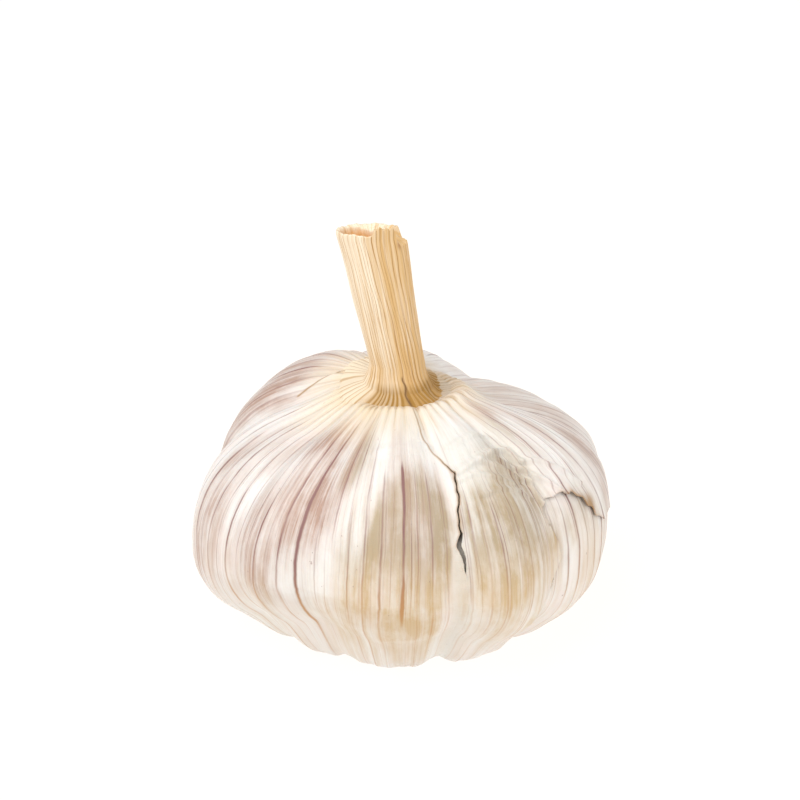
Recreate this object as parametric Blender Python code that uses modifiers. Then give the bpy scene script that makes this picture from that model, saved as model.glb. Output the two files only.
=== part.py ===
"""A garlic bulb, dried and trimmed: cloves in their papery wrapper, the dry stem and the root plate.

Metres, +Z up. The bulb rests on z = 0, and the origin is the middle of its footprint.
Azimuth is in degrees: 0 faces -Y, 90 faces +X. Fall runs over the skin from 0 at the neck's
middle to 1 at the middle of the underside, and 0.5 is the widest level.
"""

import math
import random
from typing import NamedTuple

import bmesh
import bpy
import numpy as np
from mathutils import Matrix, Vector

MM = 0.001


class Clove(NamedTuple):
    """One lobe of the bulb. Its furrow is the one at its low-azimuth side."""

    start: float  # azimuth of the furrow
    furrow: float  # depth of the furrow, as a share of FURROW_DEPTH
    reach: float  # radius at its widest level
    crown: float  # height of its shoulder
    waist: float  # height of its widest level
    belly: float  # superellipse power below its widest level: 2 is round, and more is squarer


CLOVES = (
    Clove(-99, 1.25, 31.4 * MM, 34.0 * MM, 13.8 * MM, 2.50),
    Clove(-49, 0.80, 31.4 * MM, 36.9 * MM, 18.6 * MM, 1.50),
    Clove(-26, 0.80, 31.0 * MM, 38.3 * MM, 18.0 * MM, 1.75),
    Clove(16, 1.10, 31.2 * MM, 38.0 * MM, 15.5 * MM, 1.75),
    Clove(47, 0.90, 30.1 * MM, 37.0 * MM, 17.2 * MM, 3.20),
    Clove(100, 0.45, 33.2 * MM, 31.5 * MM, 17.8 * MM, 2.40),
    Clove(150, 1.00, 29.2 * MM, 39.0 * MM, 17.0 * MM, 2.45),
    Clove(203, 0.90, 30.0 * MM, 40.0 * MM, 16.7 * MM, 2.40),
)
FURROW_DEPTH = 2.3 * MM
FURROW_SHARPNESS = 2.6
FURROW_BRIDGING = 2.5  # degrees over which the skin bridges a furrow
CLOVE_BLENDING = 12.0  # degrees over which one clove's form passes into the next
SHOULDER_POWER = 2.25  # superellipse power of the profile above the waist
PRESSED = 1.3 * MM  # how far the belly's form would go below the ground

NECK_HEIGHT = 37.4 * MM
NECK_ZONE = (4.0 * MM, 16.0 * MM)  # radii between which the cloves' own heights take over
FUNNEL_DEPTH = 2.4 * MM
FUNNEL_RADIUS = 6.2 * MM
FUNNEL_SIDE = (95.0, 35.0, 1.8 * MM)  # azimuth and width of its wider side, and how much wider
BASE_HOLLOW = 3.4 * MM  # how far the underside rises over the roots
BASE_HOLLOW_ZONE = (7.4 * MM, 11.6 * MM)  # radii between which it comes down to the resting ring
SEAT_ZONE = (17.0 * MM, 25.5 * MM)  # radii between which the cloves' undersides leave the ground
SEAT_BRIDGING = 0.5 * MM  # furrows shallower than this are pressed flat on the ground

RIDGES = 48
RIDGE_HEIGHT = 0.20 * MM
PLEAT_HEIGHT = 0.32 * MM
PLEAT_ZONE = (9.5 * MM, 4.0 * MM)  # middle radius and spread of the gathered pleats

TEAR_DEPTH = 0.55 * MM  # the outermost skin is missing from one clove
TEAR_TOP = ((50, 0.30), (55, 0.325), (60, 0.345), (66, 0.385), (71, 0.44), (84, 0.43), (98, 0.47))
TEAR_LEFT = ((0.30, 53), (0.36, 49.5), (0.43, 49), (0.48, 51.5), (0.51, 46), (0.58, 41), (0.72, 44))
TEAR_RIGHT = 97.0
TEAR_BOTTOM = 0.72
FLAP_LIFT = 0.8 * MM
FLAP_LENGTH = 0.03  # of fall, over which the torn edge curls up
FLAP_MIDDLE = (62.0, 9.0)  # azimuth and half width

SPLIT_PATH = ((12, 0.10), (11, 0.135), (12, 0.165), (16, 0.193), (20, 0.23), (18.5, 0.30),
              (17.5, 0.35), (16.5, 0.38), (17.5, 0.43), (18, 0.46))
SPLIT_WIDTH = 0.9 * MM
SPLIT_DEPTH = 1.7 * MM

SKIN_AROUND = 3 * RIDGES  # so that a ridge is one vertex wide, and the valley beside it two
SKIN_DOWN = 36
POLE_CROWDING = 0.045  # draws the rings towards the neck and the underside

STEM_FOOT = Vector((0.1 * MM, -0.6 * MM, 0))
STEM_LEAN = Vector((-4.3 * MM, 0.6 * MM, 0))  # how far the cut end stands from over the foot
STEM_TOP = 59.6 * MM
STEM_WIDTH = 7.9 * MM
STEM_MOUTH_WIDTH = 9.8 * MM
STEM_FLATTENING = 0.66  # depth over width
STEM_RIBS = 24
STEM_RIB_HEIGHT = 0.22 * MM
STEM_AROUND = 3 * STEM_RIBS
STEM_DOWN = 25
STEM_ZONES = (0.24, 0.76, 0.87)  # shares of its surface at which the hollow, the wall and the flare end
STEM_WALL = 0.9 * MM
STEM_HOLLOW = 3.5 * MM
STEM_HOLLOW_REACH = 0.62  # the open part of the mouth, as a share of its width
FLARE_RADIUS = 7.4 * MM
FLARE_HEIGHT = 2.6 * MM
FLARE_EDGE = 0.7 * MM
GAP = 0.3 * MM

ROOT_PLATE_RADIUS = 6.4 * MM
ROOT_PLATE_BOTTOM = 1.5 * MM
ROOT_PLATE_TOP = 2.5 * MM
ROOT_STUBS = 40
ROOT_THICKNESS = 1.15 * MM
ROOT_LOWEST = 0.35 * MM


def smooth(x):
    """0 below 0, 1 above 1, and an even S between."""
    x = np.clip(x, 0, 1)
    return x * x * (3 - 2 * x)


STARTS = np.array([clove.start for clove in CLOVES], float)
WIDTHS = np.diff(np.append(STARTS, STARTS[0] + 360))
DEGREES = np.arange(0, 360, 0.5)


def blurred(values, width):
    """A ring of values, one each half degree, blurred over this many degrees."""
    away = np.minimum(DEGREES, 360 - DEGREES)
    weight = np.exp(-0.5 * (away / width) ** 2)
    turned = np.fft.fft(values) * np.fft.fft(weight / weight.sum())
    return np.real(np.fft.ifft(turned))


def furrow_ring():
    """How deep the furrows are at each half degree: 0 on a clove's crest."""
    place = (DEGREES - STARTS[0]) % 360
    index = np.searchsorted(STARTS - STARTS[0], place, side="right") - 1
    across = (place - (STARTS[index] - STARTS[0])) / WIDTHS[index]
    depths = np.array([clove.furrow for clove in CLOVES])
    nearest = np.where(across < 0.5, index, (index + 1) % len(CLOVES))
    ring = np.abs(2 * across - 1) ** FURROW_SHARPNESS * depths[nearest]
    return blurred(ring, FURROW_BRIDGING)


def clove_ring(field):
    """One of the cloves' sizes at each half degree, blended from clove to clove."""
    sizes = [getattr(clove, field) for clove in CLOVES]
    ring = np.interp(DEGREES, (STARTS + WIDTHS / 2) % 360, sizes, period=360)
    return blurred(ring, CLOVE_BLENDING)


RINGS = {field: clove_ring(field) for field in ("reach", "crown", "waist", "belly")}
RINGS["furrow"] = furrow_ring()


def ring(field, azimuth):
    return np.interp(azimuth, DEGREES, RINGS[field], period=360)


def torn(azimuth, fall):
    """1 where the outermost skin has come off, with a steep ragged edge."""
    top = np.interp(azimuth, *zip(*TEAR_TOP))
    left = np.interp(fall, *zip(*TEAR_LEFT))
    inside = np.minimum((fall - top) / 0.02, (azimuth - left) / 3.0)
    inside = np.minimum(inside, (TEAR_RIGHT - azimuth) / 3.0)
    return smooth(np.minimum(inside, (TEAR_BOTTOM - fall) / 0.03))


def flap(azimuth, fall):
    """1 on the curled lip above the tear, fading upwards from the edge."""
    top = np.interp(azimuth, *zip(*TEAR_TOP))
    above = np.clip(1 - (top - fall) / FLAP_LENGTH, 0, 1) * (fall <= top + 0.005)
    middle, half = FLAP_MIDDLE
    return above**2 * np.exp(-(((azimuth - middle) / half) ** 2))


def skin(azimuth, fall, ridged=True):
    """Points of the wrapper's outside, as an array of rows x, y, z."""
    azimuth, fall = (np.asarray(v, float) for v in (azimuth, fall))
    turn = math.pi * (0.5 - fall)
    out, up = np.abs(np.cos(turn)), np.sin(turn)
    above = up > 0
    power = 2 / np.where(above, SHOULDER_POWER, ring("belly", azimuth))
    radius = ring("reach", azimuth) * out**power
    waist = ring("waist", azimuth)
    taken = smooth((radius - NECK_ZONE[0]) / (NECK_ZONE[1] - NECK_ZONE[0]))
    crown = NECK_HEIGHT + (ring("crown", azimuth) - NECK_HEIGHT) * taken
    reach_up = np.where(above, crown - waist, waist + PRESSED)
    height = waist + np.sign(up) * reach_up * np.abs(up) ** power

    furrow = FURROW_DEPTH * ring("furrow", azimuth) * smooth((radius - 5 * MM) / (12 * MM))
    depth = furrow * np.where(above, 0.75 + 0.25 * out, 1.0)
    depth = depth + TEAR_DEPTH * torn(azimuth, fall) - FLAP_LIFT * flap(azimuth, fall)
    gathered = np.exp(-(((radius - PLEAT_ZONE[0]) / PLEAT_ZONE[1]) ** 2)) * above
    relief = RIDGE_HEIGHT * smooth((radius - 12 * MM) / (8 * MM)) + PLEAT_HEIGHT * gathered
    crest = np.cos(np.radians(RIDGES * azimuth)) if ridged else 1
    depth = depth - relief * crest
    length = np.hypot(out, up)
    radius = radius - depth * out / length
    height = height - depth * up / length

    middle, width, wider = FUNNEL_SIDE
    funnel = FUNNEL_RADIUS + wider * np.exp(-(((azimuth - middle) / width) ** 2))
    height = height - above * FUNNEL_DEPTH * np.exp(-((radius / funnel) ** 4))
    inner, outer = BASE_HOLLOW_ZONE
    hollow = BASE_HOLLOW * (1 - smooth((radius - inner) / (outer - inner)))
    seat = 1 - smooth((radius - SEAT_ZONE[0]) / (SEAT_ZONE[1] - SEAT_ZONE[0]))
    seated = np.maximum(height, 0) * (1 - seat) + np.maximum(furrow - SEAT_BRIDGING, 0) * seat
    height = np.where(above, height, seated + hollow)
    angle = np.radians(azimuth)
    return np.stack([radius * np.sin(angle), -radius * np.cos(angle), height], axis=-1)


def neck_height(azimuth, radius):
    """Height of the pleats' crests this far from the axis, inside the neck zone."""
    falls = np.linspace(0, 0.2, 60)
    points = skin(np.full_like(falls, azimuth), falls, ridged=False)
    return float(np.interp(radius, np.hypot(points[:, 0], points[:, 1]), points[:, 2]))


def material(name, colour, roughness):
    made = bpy.data.materials.new(name)
    made.use_nodes = True
    shader = made.node_tree.nodes["Principled BSDF"]
    shader.inputs["Base Color"].default_value = (*colour, 1)
    shader.inputs["Roughness"].default_value = roughness
    shader.inputs["Metallic"].default_value = 0
    made.diffuse_color = (*colour, 1)
    return made


def add_object(name, bm, collection, finish=None):
    mesh = bpy.data.meshes.new(name)
    bm.to_mesh(mesh)
    bm.free()
    obj = bpy.data.objects.new(name, mesh)
    if finish:
        mesh.materials.append(finish)
        mesh.shade_smooth()
    collection.objects.link(obj)
    return obj


def shaped_ball(around, down, place):
    """A ball primitive whose vertices go to place(azimuth, fall), so it stays one closed body."""
    bm = bmesh.new()
    bmesh.ops.create_uvsphere(bm, u_segments=around, v_segments=down, radius=1)
    sphere = np.array([v.co for v in bm.verts])
    azimuth = np.degrees(np.arctan2(sphere[:, 0], -sphere[:, 1]))
    fall = np.arccos(np.clip(sphere[:, 2], -1, 1)) / math.pi
    for vertex, point in zip(bm.verts, place(azimuth, fall)):
        vertex.co = point
    return bm


def make_bulb(collection, cutters):
    def place(azimuth, fall):
        return skin(azimuth, fall - POLE_CROWDING * np.sin(2 * math.pi * fall))

    papery = material("papery_skin", (0.83, 0.75, 0.68), 0.5)
    bulb = add_object("bulb", shaped_ball(SKIN_AROUND, SKIN_DOWN, place), collection, papery)
    cut = bulb.modifiers.new("split", "BOOLEAN")
    cut.operation = "DIFFERENCE"
    cut.solver = "EXACT"
    cut.object = make_split_cutter(cutters)
    return bulb


def make_split_cutter(cutters):
    """A thin sheet through the skin along the split, given its width by Solidify."""
    azimuths, falls = (np.array(v, float) for v in zip(*SPLIT_PATH))
    surface = skin(azimuths, falls)
    steps = len(SPLIT_PATH) - 1
    bm = bmesh.new()
    bmesh.ops.create_grid(bm, x_segments=steps, y_segments=1, size=1)
    for vertex in bm.verts:
        index = round((vertex.co.x + 1) / 2 * steps)
        turn = math.pi * (0.5 - falls[index])
        azimuth = math.radians(azimuths[index])
        outward = Vector((math.sin(azimuth), -math.cos(azimuth), 0)) * math.cos(turn)
        outward.z = math.sin(turn)
        lift = 1.5 * MM if vertex.co.y > 0 else -SPLIT_DEPTH
        vertex.co = Vector(surface[index]) + outward * lift
    cutter = add_object("split_cutter", bm, cutters)
    thick = cutter.modifiers.new("width", "SOLIDIFY")
    thick.thickness = SPLIT_WIDTH
    thick.offset = 0
    cutter.hide_render = True
    cutter.display_type = "WIRE"
    return cutter


def stem_axis(height):
    """The stem's middle at this height: it leaves the neck upright and then leans over."""
    share = max(0.0, (height - NECK_HEIGHT) / (STEM_TOP - NECK_HEIGHT))
    return STEM_FOOT + STEM_LEAN * share**0.95


def stem_radius(height):
    """Half the stem's width at this height, without its flared foot."""
    share = max(0.0, (height - NECK_HEIGHT) / (STEM_TOP - NECK_HEIGHT))
    return STEM_WIDTH / 2 + (STEM_MOUTH_WIDTH - STEM_WIDTH) / 2 * share**1.6


def stem_wall(azimuth, height, inset=0.0):
    """A point on the ribbed outside, or inside it by this much."""
    angle = math.radians(azimuth)
    rib = STEM_RIB_HEIGHT * math.cos(STEM_RIBS * angle) * (0.3 if inset else 1.0)
    radius = stem_radius(height) + rib - inset
    flat = STEM_FLATTENING + (1 - STEM_FLATTENING) * (STEM_TOP - height) / STEM_TOP
    point = stem_axis(height)
    point += Vector((math.sin(angle) * radius, -math.cos(angle) * radius * flat, height))
    return point


def stem_rim(azimuth):
    """Height of the ragged cut end: it is notched at one side."""
    notch = 1.3 * MM * math.exp(-(((azimuth - 75) / 22) ** 2))
    return STEM_TOP - notch + 0.25 * MM * math.sin(math.radians(5 * azimuth))


def stem_hollow(azimuth, share):
    """A point inside the open mouth: share 0 is its floor's middle, 1 its rim."""
    rim = stem_wall(azimuth, stem_rim(azimuth), STEM_WALL)
    floor = STEM_TOP - STEM_HOLLOW
    middle = stem_axis(STEM_TOP) - Vector((stem_radius(STEM_TOP) * (1 - STEM_HOLLOW_REACH), 0, 0))
    spread = min(1.0, share / 0.5)
    point = middle.lerp(rim, spread * (0.8 + 0.2 * share))
    point.x = min(point.x, middle.x + stem_radius(STEM_TOP) * STEM_HOLLOW_REACH)
    point.z = floor + (rim.z - floor) * smooth((share - 0.4) / 0.6)
    return point


def flare(azimuth, share, above):
    """A point on the flared foot: share 0 is its edge, and 1 the stem above or the middle below."""
    angle = math.radians(azimuth)
    inner = STEM_WIDTH / 2 + STEM_RIB_HEIGHT * math.cos(STEM_RIBS * angle) if above else 0
    radius = FLARE_RADIUS + (inner - FLARE_RADIUS) * share
    point = STEM_FOOT + Vector((math.sin(angle), -math.cos(angle), 0)) * radius
    bearing = math.degrees(math.atan2(point.x, -point.y))
    point.z = neck_height(bearing, math.hypot(point.x, point.y)) + GAP
    point.z += above * (FLARE_EDGE + (FLARE_HEIGHT - FLARE_EDGE) * share**2.2)
    return point


def stem_place(azimuth, fall):
    """The stem's closed surface: the hollow, the cut rim, the ribbed wall, the flare and below."""
    hollow, wall, edge = STEM_ZONES
    if fall < hollow:
        return stem_hollow(azimuth, fall / hollow)
    if fall < wall:
        top = stem_rim(azimuth)
        foot = flare(azimuth, 1, True).z
        return stem_wall(azimuth, top + (foot - top) * (fall - hollow) / (wall - hollow))
    if fall < edge:
        return flare(azimuth, (edge - fall) / (edge - wall), True)
    return flare(azimuth, (fall - edge) / (1 - edge), False)


def make_stem(collection):
    def place(azimuths, falls):
        return [stem_place(azimuth, fall) for azimuth, fall in zip(azimuths, falls)]

    straw = material("dry_stem", (0.80, 0.62, 0.36), 0.6)
    return add_object("stem", shaped_ball(STEM_AROUND, STEM_DOWN, place), collection, straw)


def root_stub(index, draw):
    """Where one cut root leaves the plate, which way it points and how long it is."""
    radius = ROOT_PLATE_RADIUS * 0.93 * math.sqrt((index + 0.5) / ROOT_STUBS)
    angle = index * math.radians(137.508)
    outward = Vector((math.cos(angle), math.sin(angle), 0))
    start = outward * radius + Vector((0, 0, ROOT_PLATE_BOTTOM + 0.5 * MM))
    tilt = 0.75 * radius / ROOT_PLATE_RADIUS + draw.uniform(-0.15, 0.15)
    direction = (outward * math.sin(tilt) + Vector((0, 0, -math.cos(tilt)))).normalized()
    reach = (start.z - ROOT_LOWEST - draw.uniform(0, 0.4 * MM)) / -direction.z
    return start, direction, reach


def make_roots(collection):
    """The root plate with its trimmed stubs, joined into one body."""
    bark = material("root_bark", (0.45, 0.33, 0.20), 0.85)
    bm = bmesh.new()
    depth = ROOT_PLATE_TOP - ROOT_PLATE_BOTTOM
    middle = (ROOT_PLATE_TOP + ROOT_PLATE_BOTTOM) / 2
    bmesh.ops.create_cone(
        bm, cap_ends=True, segments=36, radius1=ROOT_PLATE_RADIUS, radius2=ROOT_PLATE_RADIUS * 0.9,
        depth=depth, matrix=Matrix.Translation((0, 0, middle)),
    )
    roots = add_object("roots", bm, collection, bark)
    stubs = bpy.data.collections.new("root_stubs")
    bpy.context.scene.collection.children.link(stubs)
    draw = random.Random(7)
    for index in range(ROOT_STUBS):
        start, direction, length = root_stub(index, draw)
        turn = direction.to_track_quat("Z", "Y").to_matrix().to_4x4()
        bm = bmesh.new()
        bmesh.ops.create_cone(
            bm, cap_ends=True, segments=6, radius1=ROOT_THICKNESS / 2, radius2=ROOT_THICKNESS * 0.36,
            depth=length, matrix=Matrix.Translation(start) @ turn @ Matrix.Translation((0, 0, length / 2)),
        )
        add_object(f"stub_{index}", bm, stubs)
    join = roots.modifiers.new("join", "BOOLEAN")
    join.operation = "UNION"
    join.operand_type = "COLLECTION"
    join.collection = stubs
    join.solver = "EXACT"
    join.use_self = True
    apply_modifiers(roots)
    for stub in list(stubs.objects):
        bpy.data.objects.remove(stub)
    bpy.data.collections.remove(stubs)
    return roots


def apply_modifiers(obj):
    graph = bpy.context.evaluated_depsgraph_get()
    mesh = bpy.data.meshes.new_from_object(obj.evaluated_get(graph))
    obj.modifiers.clear()
    obj.data = mesh


def middle_on_origin(objects):
    """Moves the meshes sideways, so that the middle of the whole footprint is the origin."""
    bpy.context.view_layer.update()
    graph = bpy.context.evaluated_depsgraph_get()
    corners = [Vector(corner) for obj in objects for corner in obj.evaluated_get(graph).bound_box]
    middle = Vector([(min(side) + max(side)) / 2 for side in zip(*corners)])
    shift = Matrix.Translation((-middle.x, -middle.y, 0))
    for obj in [*objects, bpy.data.objects["split_cutter"]]:
        obj.data.transform(shift)


def main():
    for obj in list(bpy.data.objects):
        bpy.data.objects.remove(obj)
    collection = bpy.data.collections.new("garlic_bulb")
    cutters = bpy.data.collections.new("cutters")
    for made in (collection, cutters):
        bpy.context.scene.collection.children.link(made)
    cutters.hide_render = True
    parts = [make_bulb(collection, cutters), make_stem(collection), make_roots(collection)]
    middle_on_origin(parts)


main()
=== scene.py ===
"""The looks of a dried garlic bulb: papery veined skin, straw stem, roots and what shows in the split.

Metres, +Z up. Azimuth is in degrees: 0 faces -Y, 90 faces +X. Fall runs over the skin from 0 at
the neck's middle to 1 at the middle of the underside, and 0.5 is the widest level.
"""

import math
import random
from typing import NamedTuple

import bmesh
import bpy
import numpy as np
from mathutils import Matrix, Vector, noise


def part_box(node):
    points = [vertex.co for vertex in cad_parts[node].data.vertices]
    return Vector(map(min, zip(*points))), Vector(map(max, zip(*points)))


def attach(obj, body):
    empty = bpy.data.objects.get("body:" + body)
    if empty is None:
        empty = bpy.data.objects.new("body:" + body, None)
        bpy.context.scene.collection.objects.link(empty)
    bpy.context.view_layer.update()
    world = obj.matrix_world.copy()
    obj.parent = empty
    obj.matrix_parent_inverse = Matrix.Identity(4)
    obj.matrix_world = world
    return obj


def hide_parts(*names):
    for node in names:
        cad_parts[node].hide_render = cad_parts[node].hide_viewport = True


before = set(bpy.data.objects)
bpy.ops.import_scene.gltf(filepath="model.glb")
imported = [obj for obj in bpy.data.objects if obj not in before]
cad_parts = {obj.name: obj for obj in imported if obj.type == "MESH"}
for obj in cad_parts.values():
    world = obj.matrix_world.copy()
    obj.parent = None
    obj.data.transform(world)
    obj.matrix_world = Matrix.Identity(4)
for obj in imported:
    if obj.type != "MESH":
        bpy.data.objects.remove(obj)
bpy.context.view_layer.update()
MM = 0.001


# ---------------------------------------------------------------- the bulb's form


class Clove(NamedTuple):
    """One lobe of the bulb. Its furrow is the one at its low-azimuth side."""

    start: float  # azimuth of the furrow
    furrow: float  # depth of the furrow, as a share of FURROW_DEPTH
    reach: float  # radius at its widest level
    crown: float  # height of its shoulder
    waist: float  # height of its widest level
    belly: float  # superellipse power below its widest level


CLOVES = (
    Clove(-99, 1.25, 31.4 * MM, 34.0 * MM, 13.8 * MM, 2.50),
    Clove(-49, 0.80, 31.4 * MM, 36.9 * MM, 18.6 * MM, 1.50),
    Clove(-26, 0.80, 31.0 * MM, 38.3 * MM, 18.0 * MM, 1.75),
    Clove(16, 1.10, 31.2 * MM, 38.0 * MM, 15.5 * MM, 1.75),
    Clove(47, 0.90, 30.1 * MM, 37.0 * MM, 17.2 * MM, 3.20),
    Clove(100, 0.45, 33.2 * MM, 31.5 * MM, 17.8 * MM, 2.40),
    Clove(150, 1.00, 29.2 * MM, 39.0 * MM, 17.0 * MM, 2.45),
    Clove(203, 0.90, 30.0 * MM, 40.0 * MM, 16.7 * MM, 2.40),
)
FURROW_DEPTH = 2.3 * MM
FURROW_SHARPNESS = 2.6
FURROW_BRIDGING = 2.5  # degrees over which the skin rounds a furrow's bottom
CLOVE_BLENDING = 12.0  # degrees over which one clove's sizes pass into the next
SHOULDER_POWER = 2.25  # superellipse power above the widest level
PRESSED = 1.3 * MM  # how much of the underside is pressed away
NECK_HEIGHT = 37.4 * MM
FUNNEL_DEPTH = 2.4 * MM
FUNNEL_RADIUS = 6.2 * MM
CUP_MIDDLE, CUP_HALF = 88, 40  # azimuth of the wide, shallow side of the funnel
CUP_WIDENING = 0.7 * MM
CUP_SHALLOWING = 0.4 * MM
BASE_HOLLOW = 3.4 * MM
SEAT_BRIDGING = 0.5 * MM  # depth of furrow that the skin spans where the bulb stands
LEAST_HEIGHT = 0.03 * MM  # of any looks over the floor
CREST_FURROW = 0.75  # share of a furrow's depth that is left near the neck

# Radii between which the form passes from one rule to the next.
NECK_ZONE = (4.0 * MM, 16.0 * MM)
FURROW_ZONE = (5.0 * MM, 17.0 * MM)
BASE_HOLLOW_ZONE = (7.4 * MM, 11.6 * MM)
SEAT_ZONE = (17.0 * MM, 25.5 * MM)

STARTS = np.array([clove.start for clove in CLOVES], float)
WIDTHS = np.diff(np.append(STARTS, STARTS[0] + 360))
DEGREES = np.arange(0, 360, 0.5)


def smooth(x):
    """0 below 0, 1 above 1, and an even S between."""
    x = np.clip(x, 0, 1)
    return x * x * (3 - 2 * x)


def rise(x, low, high):
    """0 below low, 1 above high, and an even S between."""
    return smooth((x - low) / (high - low))


def bump(x, middle, half):
    """1 at the middle, falling away on both sides."""
    return np.exp(-(((x - middle) / half) ** 2))


def signed(azimuth):
    """The same azimuth, from -180 to 180."""
    return (azimuth + 180) % 360 - 180


def past_back(azimuth):
    """The same azimuth, from -90 to 270, for what runs on from the right to the back."""
    return (azimuth + 90) % 360 - 90


def between(x, low, high, soft):
    """1 from low to high, with soft ends."""
    return smooth((x - low) / soft + 0.5) * smooth((high - x) / soft + 0.5)


def blurred(values, width):
    """A ring of values, one each half degree, blurred over this many degrees."""
    away = np.minimum(DEGREES, 360 - DEGREES)
    weight = np.exp(-0.5 * (away / width) ** 2)
    return np.real(np.fft.ifft(np.fft.fft(values) * np.fft.fft(weight / weight.sum())))


def furrow_ring():
    """How deep the furrows are at each half degree: 0 on a clove's crest."""
    place = (DEGREES - STARTS[0]) % 360
    index = np.searchsorted(STARTS - STARTS[0], place, side="right") - 1
    across = (place - (STARTS[index] - STARTS[0])) / WIDTHS[index]
    depths = np.array([clove.furrow for clove in CLOVES])
    nearest = np.where(across < 0.5, index, (index + 1) % len(CLOVES))
    return blurred(np.abs(2 * across - 1) ** FURROW_SHARPNESS * depths[nearest], FURROW_BRIDGING)


def clove_ring(field):
    """One of the cloves' sizes at each half degree, blended from clove to clove."""
    sizes = [getattr(clove, field) for clove in CLOVES]
    return blurred(np.interp(DEGREES, (STARTS + WIDTHS / 2) % 360, sizes, period=360), CLOVE_BLENDING)


RINGS = {field: clove_ring(field) for field in ("reach", "crown", "waist", "belly")}
RINGS["furrow"] = furrow_ring()


def ring(field, azimuth):
    return np.interp(azimuth, DEGREES, RINGS[field], period=360)


def funnel(azimuth, radius):
    """How far the form sinks round the neck."""
    cupped = bump(past_back(azimuth), CUP_MIDDLE, CUP_HALF)
    reach = FUNNEL_RADIUS + CUP_WIDENING * cupped
    return (FUNNEL_DEPTH - CUP_SHALLOWING * cupped) * np.exp(-((radius / reach) ** 4))


def pressed(height, radius, furrow, seat):
    """The underside's height: level in a ring, with shallow furrows, and hollow inside it."""
    hollow = BASE_HOLLOW * (1 - rise(radius, *BASE_HOLLOW_ZONE))
    return np.maximum(height, 0) * (1 - seat) + np.maximum(furrow - SEAT_BRIDGING, 0) * seat + hollow


def bare_form(azimuth, fall, lift=0.0):
    """Points of the plain form, this far proud of it, as rows x, y, z about the bulb's own axis."""
    azimuth, fall, lift = (np.asarray(value, float) for value in (azimuth, fall, lift))
    turn = math.pi * (0.5 - fall)
    out, up = np.abs(np.cos(turn)), np.sin(turn)
    above = up > 0
    power = 2 / np.where(above, SHOULDER_POWER, ring("belly", azimuth))
    radius = ring("reach", azimuth) * out**power
    waist = ring("waist", azimuth)
    crown = NECK_HEIGHT + (ring("crown", azimuth) - NECK_HEIGHT) * rise(radius, *NECK_ZONE)
    height = waist + np.sign(up) * np.where(above, crown - waist, waist + PRESSED) * np.abs(up) ** power

    furrow = FURROW_DEPTH * ring("furrow", azimuth) * rise(radius, *FURROW_ZONE)
    depth = furrow * np.where(above, CREST_FURROW + (1 - CREST_FURROW) * out, 1.0)
    length = np.hypot(out, up)
    radius = radius - depth * out / length
    height = height - depth * up / length

    seat = 1 - rise(radius, *SEAT_ZONE)
    height = np.where(above, height - funnel(azimuth, radius), pressed(height, radius, furrow, seat))

    radius = radius + lift * out / length
    height = height + lift * up / length * np.where(above | (lift < 0), 1, 1 - seat)
    angle = np.radians(azimuth)
    return np.stack([radius * np.sin(angle), -radius * np.cos(angle), height], axis=-1)


def bulb_axis():
    """Where the bulb's own axis stands in the frame."""
    around, down = np.meshgrid(np.arange(0, 360, 1.0), np.linspace(0, 1, 120))
    points = bare_form(around, down).reshape(-1, 3)
    low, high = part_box("bulb")
    middle = (points.min(axis=0) + points.max(axis=0)) / 2
    return Vector(((low.x + high.x) / 2 - middle[0], (low.y + high.y) / 2 - middle[1], 0))


AXIS = bulb_axis()


def noises(*columns):
    """Seeded noise from -1 to 1, at rows of x, y and z."""
    rows = np.stack(np.broadcast_arrays(*columns), axis=-1)
    return np.array([noise.noise(Vector(row)) for row in rows])


def ripple(azimuth, fall, around, along, seed):
    """Smooth seeded noise from -1 to 1 that closes on itself round the bulb."""
    angle = np.radians(azimuth)
    return noises(np.sin(angle) * around, np.cos(angle) * around, fall * along + seed)


# ---------------------------------------------------------------- veins and stains


class Vein(NamedTuple):
    """A lengthwise vein of the skin, shown from one fall to another."""

    azimuth: float
    strength: float
    top: float = 0.0
    bottom: float = 1.2


MAIN_VEINS = (
    Vein(-110, 0.7), Vein(-104, 0.5), Vein(-92, 0.55), Vein(-86, 0.4), Vein(-80.5, 0.75, 0.12),
    Vein(-74, 0.95, 0.2), Vein(-68, 0.55), Vein(-64, 0.85, 0.12), Vein(-59.5, 0.45), Vein(-55.5, 0.75, 0.1),
    Vein(-51, 0.4), Vein(-48.5, 0.3), Vein(-45, 0.45), Vein(-40.5, 0.8, 0.16), Vein(-37, 0.35, 0.1),
    Vein(-33.5, 0.9, 0.1, 0.75), Vein(-28.5, 1.15, 0.1, 0.8), Vein(-23.5, 0.3), Vein(-18.7, 0.8, 0.07, 0.42),
    Vein(-14, 0.3, 0.3), Vein(-10, 0.6, 0.15), Vein(-5.6, 0.55, 0.22), Vein(0.7, 1.5, 0.205, 0.62),
    Vein(4.4, 0.35, 0.22), Vein(8.6, 0.85, 0.22, 0.75), Vein(13, 0.35, 0.25), Vein(19.5, 0.15),
    Vein(24, 0.3, 0.3), Vein(28, 0.45, 0.3), Vein(32.5, 0.25, 0.3), Vein(36, 0.4, 0.3), Vein(40.5, 0.3, 0.3),
    Vein(45, 0.25, 0.2), Vein(49.5, 0.45, 0.15), Vein(54, 0.5, 0.1), Vein(58.5, 0.8, 0.08),
    Vein(63, 0.45, 0.06), Vein(67, 0.6, 0.05), Vein(72, 1.0, 0.05), Vein(77, 0.5), Vein(82, 0.7),
)
OTHER_VEIN_STEPS = (3.4, 6.2)  # degrees
OTHER_VEIN_STRENGTHS = (0.3, 0.45, 0.6, 0.8, 1.05)
OTHER_VEIN_TOPS = (0.03, 0.16)
STRONGEST_VEIN = 1.5


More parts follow.
